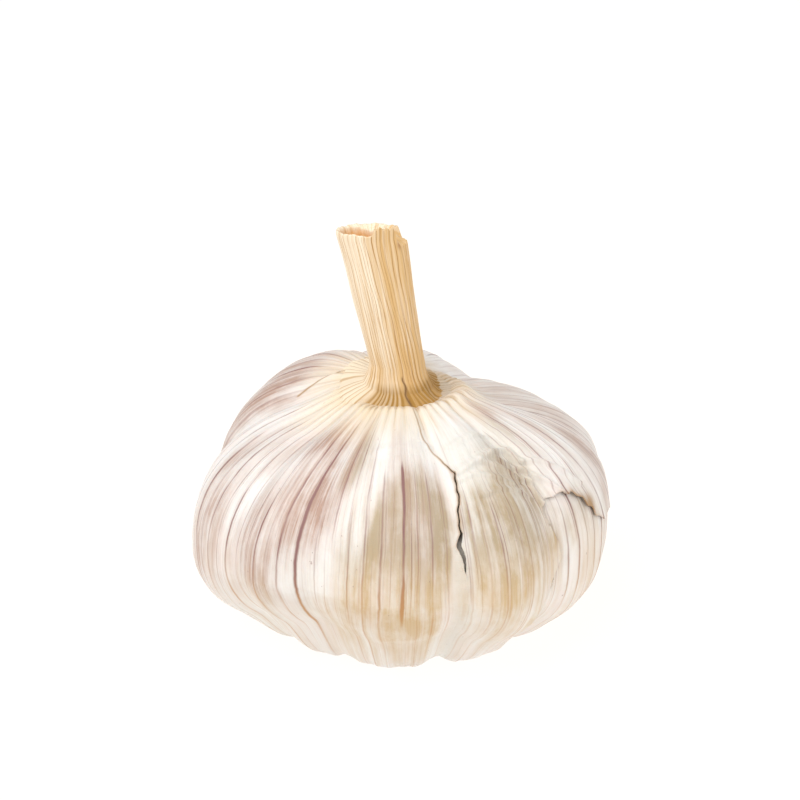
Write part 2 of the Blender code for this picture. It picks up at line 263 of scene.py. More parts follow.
def all_veins():
    """The chosen veins, and round the rest of the bulb others at uneven steps."""
    draw = random.Random(11)
    veins = list(MAIN_VEINS)
    azimuth = MAIN_VEINS[-1].azimuth + 4.5
    while azimuth < MAIN_VEINS[0].azimuth + 360 - 3:
        veins.append(Vein(azimuth, draw.choice(OTHER_VEIN_STRENGTHS), draw.uniform(*OTHER_VEIN_TOPS)))
        azimuth += draw.uniform(*OTHER_VEIN_STEPS)
    return veins


VEINS = all_veins()


def vein_place(azimuth, fall):
    """Counts the veins round the bulb: whole numbers lie on a vein. They lean at the left and right."""
    turned = signed(azimuth)
    left_lean = 26 * np.minimum(fall - 0.34, 0.22) * bump(turned, -77, 18)
    right_lean = 9 * (fall - 0.3) * bump(turned, 84, 20)
    wavy = 0.35 * np.sin(fall * 14 + azimuth * 0.13) + 0.08 * np.sin(fall * 37 + azimuth * 0.31)
    first = VEINS[0].azimuth
    straight = azimuth - (left_lean + right_lean) + wavy - first
    starts = np.append([vein.azimuth for vein in VEINS], first + 360) - first
    turns = np.floor(straight / 360)
    return np.interp(straight - 360 * turns, starts, np.arange(len(starts))) + len(VEINS) * turns


def vein_strength(azimuth, fall):
    """How dark the nearest vein is here, from 0 to STRONGEST_VEIN."""
    nearest = np.round(vein_place(azimuth, fall)).astype(int) % len(VEINS)
    _, strength, top, bottom = np.array(VEINS)[nearest].T
    shown = smooth((fall - top) / 0.03) * smooth((bottom - fall) / 0.12)
    patchy = 0.72 + 0.55 * noises(nearest * 3.7, fall * 7, 4)
    return np.clip(strength * shown * patchy, 0, STRONGEST_VEIN)


VEIN_HALF_WIDTH = 0.17  # of the step from vein to vein


def vein_ridge(azimuth, fall):
    """1 on a vein's crest and 0 between the veins."""
    place = vein_place(azimuth, fall)
    return bump(place, np.round(place), VEIN_HALF_WIDTH)


DEGREE = 0.53 * MM  # of arc at the widest level
FALL = 78 * MM  # of skin from fall 0 to 1, roughly

# Places (azimuth, fall) of the torn edge, which closes on itself, and of the split.
TEAR_EDGE = (
    (48, 0.352), (50.5, 0.340), (53.5, 0.346), (56, 0.344), (58.5, 0.358), (60.5, 0.356), (62, 0.374),
    (64.5, 0.385), (65.5, 0.41), (67.5, 0.42), (68.5, 0.445), (71, 0.455), (74, 0.475), (81, 0.482),
    (90, 0.50), (101, 0.545), (107, 0.62), (108, 0.74), (104, 0.86), (90, 0.905), (70, 0.90),
    (52, 0.885), (43, 0.82), (39, 0.72), (38.5, 0.655), (40.5, 0.58), (44.5, 0.535), (48.5, 0.497),
    (51, 0.478), (50.2, 0.44), (48.6, 0.40), (47.8, 0.37),
)
SPLIT_PATH = (
    (10.4, 0.085), (11, 0.10), (11, 0.135), (12.2, 0.165), (16, 0.193), (19, 0.216), (20.2, 0.236),
    (19.2, 0.27), (18.5, 0.30), (17.4, 0.33), (17.6, 0.36), (16.2, 0.38), (17.2, 0.407), (17.5, 0.435),
    (18, 0.462), (16.5, 0.60),
)
SPLIT_TOP, SPLIT_END = 0.092, 0.452  # fall
SPLIT_RAGGED = 0.55  # degrees


def split_azimuth(fall):
    """The split's own ragged course."""
    azimuths, falls = zip(*SPLIT_PATH)
    levels = np.ravel(fall)
    ragged = noises(levels * 38, 2.5, 0) + 0.5 * noises(levels * 110, 7.5, 0)
    return np.interp(fall, falls, azimuths) + SPLIT_RAGGED * np.reshape(ragged, np.shape(fall))


def beside_split(azimuth, fall):
    """Degrees from the split."""
    return np.abs(azimuth - split_azimuth(fall))


def over_skin(places):
    """Places (azimuth, fall) as lengths over the skin."""
    return np.array(places) * (DEGREE, FALL)


TEAR_LOOP = over_skin((*TEAR_EDGE, TEAR_EDGE[0]))


def nearest_on(line, point):
    """How far each point is from a broken line over the skin, and the nearest spots on it."""
    a, b = line[:-1], line[1:]
    point = point[:, None]
    along = np.clip(((point - a) * (b - a)).sum(-1) / ((b - a) ** 2).sum(-1), 0, 1)
    spots = a + along[..., None] * (b - a)
    away = np.linalg.norm(point - spots, axis=-1)
    nearest = away.argmin(axis=-1)
    every = np.arange(len(point))
    return away[every, nearest], spots[every, nearest]


def from_line(azimuth, fall, places):
    """Distance over the skin to a broken line."""
    return nearest_on(over_skin(places), over_skin(np.stack([azimuth, fall], axis=-1)))[0]


def from_tear(azimuth, fall):
    """Signed distance to the torn edge over the skin: negative where the outer skin is missing."""
    point = over_skin(np.stack([azimuth, fall], axis=-1))
    away, _ = nearest_on(TEAR_LOOP, point)
    (ax, ay), (bx, by) = TEAR_LOOP[:-1].T, TEAR_LOOP[1:].T
    x, y = point[:, :1], point[:, 1:]
    crosses = (ay > y) != (by > y)
    crossing = ax + (y - ay) / np.where(by == ay, 1, by - ay) * (bx - ax)
    inside = (crosses & (x < crossing)).sum(-1) % 2 == 1
    return np.where(inside, -away, away)


class Patch(NamedTuple):
    """A soft oval stain on the skin, with its half widths."""

    azimuth: float
    fall: float
    across: float
    along: float
    strength: float


PURPLE_PATCHES = (
    Patch(-38, 0.17, 8, 0.05, 0.75), Patch(-30, 0.19, 6, 0.08, 0.85), Patch(-32, 0.33, 7, 0.11, 0.85),
    Patch(-25, 0.30, 4, 0.10, 0.45), Patch(-45, 0.40, 8, 0.12, 0.5), Patch(-40, 0.50, 8, 0.09, 0.4),
    Patch(-18.5, 0.21, 2.8, 0.08, 0.8), Patch(-56, 0.20, 9, 0.07, 0.25), Patch(-54, 0.52, 6, 0.10, 0.35),
    Patch(-74, 0.30, 6, 0.10, 0.5), Patch(-71, 0.50, 6, 0.12, 0.8), Patch(-63, 0.42, 5, 0.12, 0.45),
    Patch(-98, 0.48, 6, 0.12, 0.35), Patch(-112, 0.22, 8, 0.09, 0.5), Patch(-102, 0.17, 6, 0.06, 0.3),
    Patch(-3, 0.33, 4, 0.09, 0.85), Patch(0.3, 0.31, 3.4, 0.09, 1.0), Patch(4, 0.37, 7, 0.10, 0.6),
    Patch(-2, 0.15, 2.5, 0.07, 0.3), Patch(10, 0.30, 5, 0.07, 0.4), Patch(61, 0.13, 7, 0.035, 0.7),
    Patch(71.5, 0.20, 3.5, 0.10, 0.4), Patch(87, 0.32, 6, 0.12, 0.75), Patch(80, 0.45, 4, 0.07, 0.45),
    Patch(106, 0.25, 8, 0.10, 0.4),
)
TAN_PATCHES_AND_FLAP_SHADE = (
    Patch(-1, 0.34, 8, 0.10, 0.8), Patch(6, 0.36, 8, 0.10, 1.0), Patch(9, 0.44, 6, 0.10, 0.8),
    Patch(-2, 0.53, 10, 0.12, 0.65), Patch(-12, 0.46, 6, 0.14, 0.4), Patch(-17, 0.62, 9, 0.10, 0.3),
    Patch(4, 0.66, 10, 0.09, 0.4), Patch(26, 0.365, 7, 0.09, 1.0), Patch(35, 0.34, 7, 0.09, 1.0),
    Patch(42, 0.30, 7, 0.09, 1.0), Patch(46, 0.41, 5, 0.10, 1.0), Patch(29, 0.45, 9, 0.10, 1.0),
    Patch(33, 0.62, 12, 0.09, 0.35), Patch(-43, 0.58, 8, 0.08, 0.25), Patch(66, 0.55, 7, 0.14, 0.25),
    # Patch(58, 0.42) on the next line is painted shade on the layer beneath, under the torn flap.
    Patch(57, 0.20, 6, 0.07, 0.3), Patch(16.8, 0.48, 3, 0.15, 0.6), Patch(58, 0.42, 6, 0.05, 0.4),
    Patch(-17, 0.20, 5, 0.07, 0.55), Patch(8, 0.36, 4, 0.10, 0.5),
)
SPLIT_STRIP = (14.5, 19.6)  # azimuths between which the skin below the split is pale


def stain(patches, azimuth, fall):
    """The patches one over another, with wandering outlines."""
    azimuth = azimuth + 2.4 * ripple(azimuth, fall, 9, 6.0, 15.3)
    fall = fall + 0.028 * ripple(azimuth, fall, 13, 3.0, 21.7) + 0.02 * ripple(azimuth, fall * 0, 34, 1, 5.9)
    clean = 1.0
    for patch in patches:
        across = (signed(azimuth - patch.azimuth) / patch.across) ** 2
        along = ((fall - patch.fall) / patch.along) ** 2
        clean = clean * (1 - np.clip(patch.strength * np.exp(-((across + along) ** 1.3)), 0, 1))
    return 1 - clean


def flush(azimuth, fall):
    """How much purple the skin holds between its veins."""
    patchy = ripple(azimuth, fall, 4.4, 3.0, 3.3) * 0.5 + ripple(azimuth, fall, 11, 5.0, 9.1) * 0.35
    from_back = np.abs(azimuth % 360 - 185)
    back = smooth((85 - from_back) / 20) * np.clip(0.3 + patchy, 0, 1) * between(fall, 0.1, 0.62, 0.2)
    left = smooth((-8 - azimuth) / 12) * between(fall, 0.12, 0.6, 0.15)
    faint = left * np.clip(0.12 + 0.5 * patchy, 0, 1)
    return np.clip(stain(PURPLE_PATCHES, azimuth, fall) * (1 + 0.7 * patchy) + back + faint, 0, 1)


def tan_and_flap_shade(azimuth, fall):
    """How far the skin is weathered to tan: on the front cloves, and low down all round. One patch is
    painted shade under the torn flap.
    """
    low = 0.18 * smooth((fall - 0.5) / 0.3) * (1 + 0.8 * ripple(azimuth, fall, 8, 2.5, 7.7))
    streaks = 0.35 * np.clip(ripple(azimuth, fall, 16, 1.2, 1.4), 0, 1) * smooth((fall - 0.3) / 0.2)
    uneven = 1 + 0.5 * ripple(azimuth, fall, 14, 9.0, 6.1)
    patches = 1.45 * stain(TAN_PATCHES_AND_FLAP_SHADE, azimuth, fall) * uneven
    right = 0.10 + 0.14 * smooth((azimuth - 45) / 40)
    pale = 1 - 0.5 * between(azimuth, *SPLIT_STRIP, 2.4) * smooth((fall - 0.33) / 0.05)
    return np.clip((patches + low + streaks + right) * pale, 0, 1)


def milky(azimuth, fall):
    """Where the skin is wrinkled, loose and greenish white."""
    lower_edge = 0.30 + 0.02 * ripple(azimuth, fall * 0, 7, 1, 5.2)
    crumpled = between(azimuth, 18, 55, 8) * between(fall, 0.15, lower_edge, 0.06)
    below_split = 0.9 * between(azimuth, *SPLIT_STRIP, 3) * between(fall, 0.36, 0.8, 0.1)
    front_shoulder = 0.5 * between(azimuth, -12, 17, 5) * between(fall, 0.1, 0.2, 0.05)
    return np.clip(crumpled + below_split + front_shoulder, 0, 1)


def straw(azimuth, fall):
    """How far the skin has dried to the stem's colour, towards the neck."""
    wide = 0.104 + 0.035 * bump(azimuth, -75, 50) + 0.035 * bump(azimuth, -12, 22)
    wide = wide + 0.008 * np.sin(np.radians(azimuth * 9))
    near = smooth((wide - fall) / 0.06) * (1 - 0.3 * bump(azimuth, 70, 40))
    return np.maximum(near, 0.6 * smooth((wide + 0.05 - fall) / 0.09))


# ---------------------------------------------------------------- relief


CUP = (48, 128, 30)  # azimuths of the cup at the neck's right, from, to and how softly
PLEAT_HEIGHT, CUP_PLEAT_HEIGHT = 0.20 * MM, 0.14 * MM
RIM_HEIGHT, CUP_RIM_HEIGHT = 0.15 * MM, 0.4 * MM
RIM_CREASE = 0.7 * MM
FAINT_VEIN, DARK_VEIN = 0.035 * MM, 0.09 * MM  # height of any vein, and what a dark one adds
LONG_FOLD, SHORT_FOLD = 0.30 * MM, 0.16 * MM
CRUMPLING = 0.10 * MM
LEAF_STEP, LEAF_SHADOW = 0.25 * MM, 0.1 * MM
TEAR_LIFT, CURL_LIFT = 0.12 * MM, 0.28 * MM
SPLIT_LIP, CORNER_LIP = 0.30 * MM, 0.35 * MM
INNER_VEIN = 0.16 * MM
INNER_DEPTH, SPLIT_DEPTH = 0.33 * MM, 0.45 * MM  # below the outer skin, and what the split adds


def pleats(azimuth, fall):
    """The gathers that run out from the neck, deepest near it."""
    reach = smooth((0.22 - fall) / 0.16)
    strong = 0.55 + 0.4 * bump(signed(azimuth), -75, 50) + 0.3 * ripple(azimuth, fall * 0, 5, 1, 8.8)
    cup = between(past_back(azimuth), *CUP) * smooth((0.11 - fall) / 0.03)
    height = PLEAT_HEIGHT * reach * strong + CUP_PLEAT_HEIGHT * cup
    return height * gathers(azimuth) + neck_rim(azimuth, fall)


RIBS = 48  # round the stem and the neck


def rib_crest(azimuth):
    """The ribs that the stem and the neck's pleats share: 0 in their valleys, 1 on their crests."""
    angle = np.radians(azimuth)
    uneven = 1.6 * np.sin(angle * 3 + 1) + 1.0 * np.sin(angle * 7 + 2.6) + 0.55 * np.sin(angle * 13 + 0.7)
    return np.abs(np.sin(angle * RIBS / 2 + uneven))


def gathers(azimuth):
    """Those ribs as relief from about -1 to 1, rounded, narrow in their valleys and uneven."""
    angle = np.radians(azimuth)
    return 2 * rib_crest(azimuth) ** 0.7 - 1.2 + 0.5 * np.sin(angle * 13 + 1.5 * np.sin(angle * 3))


def neck_rim(azimuth, fall):
    """The skin turns up round the front and right of the neck, and dips into a crease inside that."""
    turned = past_back(azimuth)
    front = between(turned, -42, 150, 34)
    right = between(turned, 38, 128, 30)
    rim = RIM_HEIGHT * bump(fall, 0.084, 0.014)
    crease = RIM_CREASE * smooth((0.074 - fall) / 0.012)
    return front * (rim - crease) + right * CUP_RIM_HEIGHT * bump(fall, 0.080, 0.016)


class Fold(NamedTuple):
    """A sharp little fold in the loose skin, over places (azimuth, fall)."""

    height: float
    width: float
    places: tuple


FOLD_RISE = 1.9  # all folds' heights are multiplied by this
FOLD_DIP = 0.35  # depth of the dip beside a fold, as a share of its height
FOLDS = (
    Fold(0.42 * MM, 0.55 * MM, (
        (20.5, 0.236), (28, 0.222), (36, 0.212), (45, 0.207), (50, 0.214), (51, 0.25),
    )),
    Fold(0.34 * MM, 0.45 * MM, ((37, 0.213), (43, 0.235), (49, 0.262), (54, 0.31), (57, 0.345))),
    Fold(0.32 * MM, 0.50 * MM, ((31, 0.222), (40, 0.25), (49, 0.292))),
    Fold(0.32 * MM, 0.40 * MM, ((49, 0.225), (49.6, 0.27), (48.3, 0.31), (49, 0.36))),
    Fold(0.25 * MM, 0.60 * MM, ((-11, 0.19), (-2, 0.18), (6, 0.176), (14, 0.166))),
    Fold(0.30 * MM, 0.45 * MM, ((52, 0.25), (57, 0.268), (63, 0.31), (67, 0.36))),
    Fold(0.28 * MM, 0.40 * MM, ((21, 0.25), (27, 0.243), (34, 0.26), (40, 0.285))),
    Fold(0.24 * MM, 0.40 * MM, ((22, 0.18), (30, 0.173), (40, 0.165), (48, 0.17))),
    Fold(0.22 * MM, 0.35 * MM, ((26, 0.29), (33, 0.283), (41, 0.30), (46, 0.33))),
    Fold(-0.26 * MM, 0.45 * MM, ((44, 0.216), (46, 0.25), (45, 0.29))),
)


def fold_relief(fold, azimuth, fall):
    """A fold's crest, with a shallow dip on each side."""
    away = from_line(azimuth, fall, fold.places)
    return FOLD_RISE * fold.height * (bump(away, 0, fold.width) - FOLD_DIP * bump(away, 0, 3 * fold.width))


def creases(azimuth, fall):
    """Long shallow folds all round, and the crumpled patch at the front right."""
    turned = signed(azimuth)
    long = LONG_FOLD * ripple(azimuth, fall, 6.5, 2.2, 12.5)
    long = long + SHORT_FOLD * ripple(azimuth, fall, 15, 4.0, 31.5)
    patch = between(turned, 19, 60, 8) * between(fall, 0.13, 0.36, 0.08)
    loose = patch * CRUMPLING * (1 - 2 * np.abs(ripple(azimuth + 60 * fall, fall, 9, 26, 2.4)))
    loose = loose + sum(fold_relief(fold, turned, fall) for fold in FOLDS)
    return (long + loose) * smooth((fall - 0.08) / 0.1) * smooth((0.9 - fall) / 0.1)


# Places (azimuth, fall) of a leaf's edge at the upper left.
LEAF_EDGE = ((-128, 0.062), (-120, 0.070), (-114, 0.087), (-109, 0.108), (-105.5, 0.132), (-102.5, 0.162))


def leaf_edge(azimuth, fall):
    """A leaf's edge lies over the next one, as a low step with a shadow line."""
    azimuths, falls = zip(*LEAF_EDGE)
    side = (azimuth - np.interp(fall, falls, azimuths)) / 4
    step = LEAF_STEP * smooth(side + 0.5) * np.exp(-np.maximum(side, 0) / 2)
    return between(fall, 0.06, 0.165, 0.03) * (step - LEAF_SHADOW * bump(side, -0.5, 0.6))


def vein_relief(azimuth, fall):
    """The veins stand out of the skin, the dark ones most."""
    height = FAINT_VEIN + DARK_VEIN * vein_strength(azimuth, fall)
    ends = smooth((fall - 0.07) / 0.08) * smooth((0.95 - fall) / 0.1)
    return height * (vein_ridge(azimuth, fall) - 0.3) * ends


def torn_lip(azimuth, fall):
    """The torn edge stands off the layer beneath, and curls up at the front right."""
    edge = np.maximum(from_tear(azimuth, fall), 0)
    curled = bump(azimuth, 62, 6) * between(fall, 0.27, 0.46, 0.05)
    return TEAR_LIFT * np.exp(-edge / (0.8 * MM)) + CURL_LIFT * curled * np.exp(-edge / (1.0 * MM))


def split_lips(azimuth, fall):
    """Both edges of the split stand up, most at its three-cornered end."""
    beside = beside_split(azimuth, fall) * DEGREE
    height = SPLIT_LIP + CORNER_LIP * bump(fall, 0.41, 0.04)
    return height * between(fall, SPLIT_TOP, 0.48, 0.04) * np.exp(-beside / (1.0 * MM))


def outer_lift(azimuth, fall):
    """How far each point of the outer skin stands off the plain form."""
    azimuth = signed(azimuth)
    reliefs = (vein_relief, pleats, creases, leaf_edge, torn_lip, split_lips)
    return sum(relief(azimuth, fall) for relief in reliefs)


def inner_lift(azimuth, fall):
    """The layer beneath lies just under the outer skin, deeper in the split, and has its own veins."""
    below = INNER_DEPTH + SPLIT_DEPTH * bump(azimuth, 18, 5) * between(fall, 0.1, 0.5, 0.06)
    veins = INNER_VEIN * (vein_ridge(azimuth, fall) - 0.2) * smooth((fall - 0.1) / 0.1)
    return veins + 0.8 * creases(azimuth, fall) - below


# ---------------------------------------------------------------- meshes


def new_piece(name, bm, material, replaced):
    """Makes a bmesh a piece of the looks, which stands for a node of the solids."""
    mesh = bpy.data.meshes.new(name)
    bm.to_mesh(mesh)
    bm.free()
    mesh.shade_smooth()
    mesh.materials.append(material)
    piece = bpy.data.objects.new(name, mesh)
    bpy.context.scene.collection.objects.link(piece)
    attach(piece, "root")
    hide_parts(replaced)
    return piece


def skin_layers(bm):
    """The layers that keep each vertex's azimuth and fall."""
    return bm.verts.layers.float["azimuth"], bm.verts.layers.float["fall"]


def read_places(bm):
    turn, down = skin_layers(bm)
    return tuple(np.array([vertex[layer] for vertex in bm.verts]) for layer in (turn, down))


def new_sheet():
    """An empty bmesh whose vertices keep their azimuth and fall."""
    bm = bmesh.new()
    for name in ("azimuth", "fall"):
        bm.verts.layers.float.new(name)
    return bm


def new_ball(columns, rows):
    """A closed ball, with the azimuth and fall of its vertices."""
    bm = new_sheet()
    bmesh.ops.create_uvsphere(bm, u_segments=columns, v_segments=rows, radius=1)
    turn, down = skin_layers(bm)
    sphere = np.array([vertex.co for vertex in bm.verts])
    azimuth = np.degrees(np.arctan2(sphere[:, 0], -sphere[:, 1]))
    fall = np.arccos(np.clip(sphere[:, 2], -1, 1)) / math.pi
    for vertex, a, f in zip(bm.verts, azimuth, fall):
        vertex[turn], vertex[down] = a, f
    return bm, azimuth, fall


def place_vertices(bm, points):
    """Puts each vertex at its point about the bulb's axis."""
    for vertex, point in zip(bm.verts, points):
        vertex.co = Vector(point) + AXIS


def keep_above_floor(bm):
    for vertex in bm.verts:
        vertex.co.z = max(vertex.co.z, LEAST_HEIGHT)


def paint(bm, name, values):
    """Stores three or four values a vertex as a colour attribute that the material reads."""
    layer = bm.verts.layers.float_color.new(name)
    for vertex, row in zip(bm.verts, np.stack(values, axis=-1)):
        vertex[layer] = (*row, 1.0)[:4]


def curled_edge(azimuth, fall):
    """1 on the torn edge where it curls at the front right, and less beside it."""
    beside = np.exp(-np.abs(from_tear(azimuth, fall)) / (0.5 * MM))
    return beside * bump(azimuth, 63, 8) * between(fall, 0.3, 0.5, 0.05)


def outer_browning(azimuth, fall):
    """Brown on the outer skin: the curled edge and its flap, the split's line and the leaf's edge."""
    flap = bump(azimuth, 67.5, 2.0) * bump(fall, 0.408, 0.02)
    drawn = bump(beside_split(azimuth, fall) * DEGREE, 0, 0.30 * MM) * between(fall, 0.075, 0.40, 0.02)
    leaf_width = (0.30 + 0.25 * smooth((0.10 - fall) / 0.03)) * MM
    leaf = bump(from_line(azimuth, fall, LEAF_EDGE), 0, leaf_width)
    return np.maximum.reduce([0.85 * curled_edge(azimuth, fall) + 0.9 * flap, 0.85 * drawn, leaf])


def inner_painted_shade(azimuth, fall):
    """Painted shade on the layer beneath: under the curled flap, along the torn edge, and deep in the split.
    """
    edge = np.abs(from_tear(azimuth, fall))
    along_edge = 0.255 * curled_edge(azimuth, fall) + 0.14 * np.exp(-edge / (0.4 * MM))
    gap = between(fall, SPLIT_TOP - 0.02, SPLIT_END, 0.02) * (1 - 0.9 * between(fall, 0.375, 0.46, 0.02))
    return np.maximum(along_edge, gap * smooth((3.2 - beside_split(azimuth, fall)) / 1.5))


def low_darkening_and_pleat_shade(azimuth, fall):
    """Darker on the underside, and painted shade in the valleys between the pleats."""
    valleys = (1 - rib_crest(azimuth)) ** 1.5 * smooth((0.17 - fall) / 0.07)
    return smooth((fall - 0.80) / 0.14) + valleys * (0.7 + 0.3 * between(past_back(azimuth), -60, 140, 50))


def neck_shade(azimuth, fall):
    """The ochre crease round the neck, scalloped by the pleats."""
    turned = past_back(azimuth)
    cup = between(turned, *CUP)
    edge = 0.087 + 0.008 * cup - 0.004 * gathers(azimuth)
    crease = smooth((edge - fall) / 0.012) * (0.15 + 0.85 * between(turned, -45, 145, 40))
    return crease * (1 - (0.55 + 0.2 * cup) * smooth(rib_crest(azimuth) * 1.5 - 0.4))


def paint_skin(bm, azimuth, fall, browning_and_shade):
    """Keeps what the skin's material needs: stain and age, four values each. Age holds painted shade in the
    pleats' valleys, and its browned channel is painted shade on the layer beneath.
    """
    azimuth = signed(azimuth)
    strength = vein_strength(azimuth, fall) / STRONGEST_VEIN
    paint(bm, "stain", (strength, flush(azimuth, fall), tan_and_flap_shade(azimuth, fall), milky(azimuth, fall)))
    # Darker on the underside, and painted shade in the pleats' valleys.
    dirt = np.clip(low_darkening_and_pleat_shade(azimuth, fall), 0, 1)
    # Brown edges on the outer skin, painted shade on the layer beneath.
    browned = np.clip(browning_and_shade(azimuth, fall), 0, 1)
    paint(bm, "age", (straw(azimuth, fall), dirt, browned, neck_shade(azimuth, fall)))


MAP_START, MAP_SPAN = -183, 366  # azimuths on the flat map, with room for the faces across the seam


def write_maps(bm):
    """Two maps: OFBake is the sheet laid flat, and veins counts the veins across and the fall along."""
    flat = bm.loops.layers.uv.new("OFBake")
    veins = bm.loops.layers.uv.new("veins")
    turn, down = skin_layers(bm)
    loops = [loop for face in bm.faces for loop in face.loops]
    azimuth = np.array([loop.vert[turn] for loop in loops])
    fall = np.array([loop.vert[down] for loop in loops])
    middles = np.array([face.calc_center_median() - AXIS for face in bm.faces for _ in face.loops])
    middle = np.degrees(np.arctan2(middles[:, 0], -middles[:, 1]))
    azimuth = middle + signed(azimuth - middle)
    across = (azimuth - MAP_START) / MAP_SPAN
    for loop, u, place, v in zip(loops, across, vein_place(azimuth, fall), fall):
        loop[flat].uv = (u, v)
        loop[veins].uv = (place, v)


SHEET_COLUMNS, SHEET_ROWS = 340, 104
SHEET_TOP, SHEET_BOTTOM = 0.035, 0.935  # fall
SHEET_SEAM = 17.3  # azimuth of the seam, but for where it follows the split
SEAM_BENDING = 0.07  # share of the sheet beside the seam that bends with it
PAPER_THICKNESS = 0.2 * MM
FINER_PARTS = (  # azimuth from and to, fall from and to, cuts
    (11.9, 74.9, 0.071, 0.521, 1),
    (-132.1, -97.9, 0.049, 0.179, 3),
)


def sheet_place(vertex):
    """The azimuth and fall of a vertex of the flat sheet, whose sides are 1 long."""
    fall = SHEET_TOP + (SHEET_BOTTOM - SHEET_TOP) * (0.5 - vertex.co.y)
    return SHEET_SEAM + 360 * (vertex.co.x + 0.5), fall


def make_finer(bm, left, right, top, bottom, cuts):
    """Subdivides the part of the sheet between two azimuths and two falls."""
    inside = set()
    for vertex in bm.verts:
        azimuth, fall = sheet_place(vertex)
        if (azimuth - left) % 360 < right - left and top < fall < bottom:
            inside.add(vertex)
    edges = [edge for edge in bm.edges if inside.issuperset(edge.verts)]
    bmesh.ops.subdivide_edges(bm, edges=edges, cuts=cuts, use_grid_fill=True)


def split_sheet():
    """The outer skin laid flat, azimuth across and fall down, with its seam along the split."""
    bm = new_sheet()
    bmesh.ops.create_grid(bm, x_segments=SHEET_COLUMNS, y_segments=SHEET_ROWS, size=0.5)
    for part in FINER_PARTS:
        make_finer(bm, *part)
    turn, down = skin_layers(bm)
    for vertex in bm.verts:
        azimuth, fall = sheet_place(vertex)
        to_edge = 0.5 - abs(vertex.co.x)
        near = 1 - smooth(to_edge / SEAM_BENDING)
        vertex[turn] = azimuth + (float(split_azimuth(fall)) - SHEET_SEAM) * near
        vertex[down] = fall
    return bm


SPLIT_REACH = 0.03  # share of the sheet beside the split that opens with it


def split_opening(fall):
    """Half the split's width in degrees: its narrow part, and what its three-cornered end adds."""
    ends = float(smooth((fall - SPLIT_TOP) / 0.02) * smooth((SPLIT_END - fall) / 0.02))
    narrow = 0.08 + 0.17 * float(smooth((fall - 0.2) / 0.03)) + 0.1 * noise.noise(Vector((fall * 60, 0, 3)))
    cornered = float(0.95 * smooth((fall - 0.345) / 0.035) * smooth((SPLIT_END - fall) / 0.07))
    return ends * narrow, ends * cornered


def open_split(bm):
    """The two edges of the split draw apart, the one at its right most."""
    turn, down = skin_layers(bm)
    for vertex in bm.verts:
        to_edge = 0.5 - abs(vertex.co.x)
        if not SPLIT_TOP < vertex[down] < SPLIT_END or to_edge > SPLIT_REACH:
            continue
        narrow, cornered = split_opening(vertex[down])
        fade = 1 - to_edge / SPLIT_REACH
        if vertex.co.x < 0:
            vertex[turn] += (narrow + cornered) * fade
        else:
            vertex[turn] -= (narrow + 0.15 * cornered) * fade


TEAR_RAGGEDNESS = 0.12 * MM
TEAR_ZONE = (30, 115, 0.3, 0.92)  # azimuth from and to, fall from and to, round the torn edge


def cut_tear(bm):
    """Takes away the torn part and brings the vertices beside it onto the edge."""
    bm.verts.index_update()
    gone = set(np.flatnonzero(from_tear(*read_places(bm)) < 0))
    faces = [face for face in bm.faces if gone.issuperset(vertex.index for vertex in face.verts)]
    bmesh.ops.delete(bm, geom=faces, context="FACES")
    turn, down = skin_layers(bm)
    left, right, top, bottom = TEAR_ZONE
    rim = [v for v in bm.verts if v.is_boundary and left < v[turn] < right and top < v[down] < bottom]
    _, spots = nearest_on(TEAR_LOOP, over_skin([(vertex[turn], vertex[down]) for vertex in rim]))
    for vertex, (across, along) in zip(rim, spots):
        ragged = TEAR_RAGGEDNESS * noise.noise(Vector((across * 1400, along * 1400, 0.5)))
        vertex[turn] = (across + ragged) / DEGREE
        vertex[down] = (along + ragged) / FALL


def close_seam(bm, azimuth, fall):
    """Joins the sheet's two sides above and below the split."""
    from_seam = np.abs(signed(azimuth - split_azimuth(fall)))
    closed = ((fall <= SPLIT_TOP) | (fall >= SPLIT_END)) & (from_seam < 0.05)
    seam = [vertex for vertex, joined in zip(bm.verts, closed) if joined and vertex.is_boundary]
    bmesh.ops.remove_doubles(bm, verts=seam, dist=0.02 * MM)


def make_outer_skin(material):
    """One sheet of dry paper, split at the front and torn at the front right."""
    bm = split_sheet()
    open_split(bm)
    cut_tear(bm)
    azimuth, fall = read_places(bm)
    place_vertices(bm, bare_form(azimuth, fall, outer_lift(azimuth, fall)))
    keep_above_floor(bm)
    close_seam(bm, azimuth, fall)
    azimuth, fall = read_places(bm)
    paint_skin(bm, azimuth, fall, outer_browning)
    write_maps(bm)
    bmesh.ops.recalc_face_normals(bm, faces=bm.faces)
    piece = new_piece("outer_skin", bm, material, "bulb")
    paper = piece.modifiers.new("paper", "SOLIDIFY")
    paper.thickness = PAPER_THICKNESS
    paper.offset = -1


def make_inner_skin(material):
    """A closed ball of the layer beneath, seen in the split and where the outer skin is torn away."""
    bm, azimuth, fall = new_ball(300, 110)
    place_vertices(bm, bare_form(azimuth, fall, inner_lift(azimuth, fall)))
    paint_skin(bm, azimuth, fall, inner_painted_shade)
    write_maps(bm)
    new_piece("inner_skin", bm, material, "bulb")


# ---------------------------------------------------------------- the stem

STEM_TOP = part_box("stem")[1].z
STEM_FOOT = Vector((0.1 * MM, -0.6 * MM, 0)) + AXIS
STEM_LEAN = Vector((-4.3 * MM, 0.6 * MM, 0))
STEM_WIDTH, STEM_MOUTH_WIDTH = 7.9 * MM, 9.8 * MM
STEM_FLATTENING = 0.60  # its depth at the cut end, as a share of its width


def stem_share(height):
    """0 at the neck, 1 at the cut end."""
    return np.clip((height - NECK_HEIGHT) / (STEM_TOP - NECK_HEIGHT), 0, 1)


def stem_axis(height):
    """x and y of the stem's middle at this height."""
    share = stem_share(height)
    return [STEM_FOOT[i] + STEM_LEAN[i] * share**0.95 for i in (0, 1)]


def stem_flatness(height):
    """The stem's depth as a share of its width: round at its foot, flattened at the cut end."""
    return 1 - (1 - STEM_FLATTENING) * float(stem_share(height)) ** 0.5


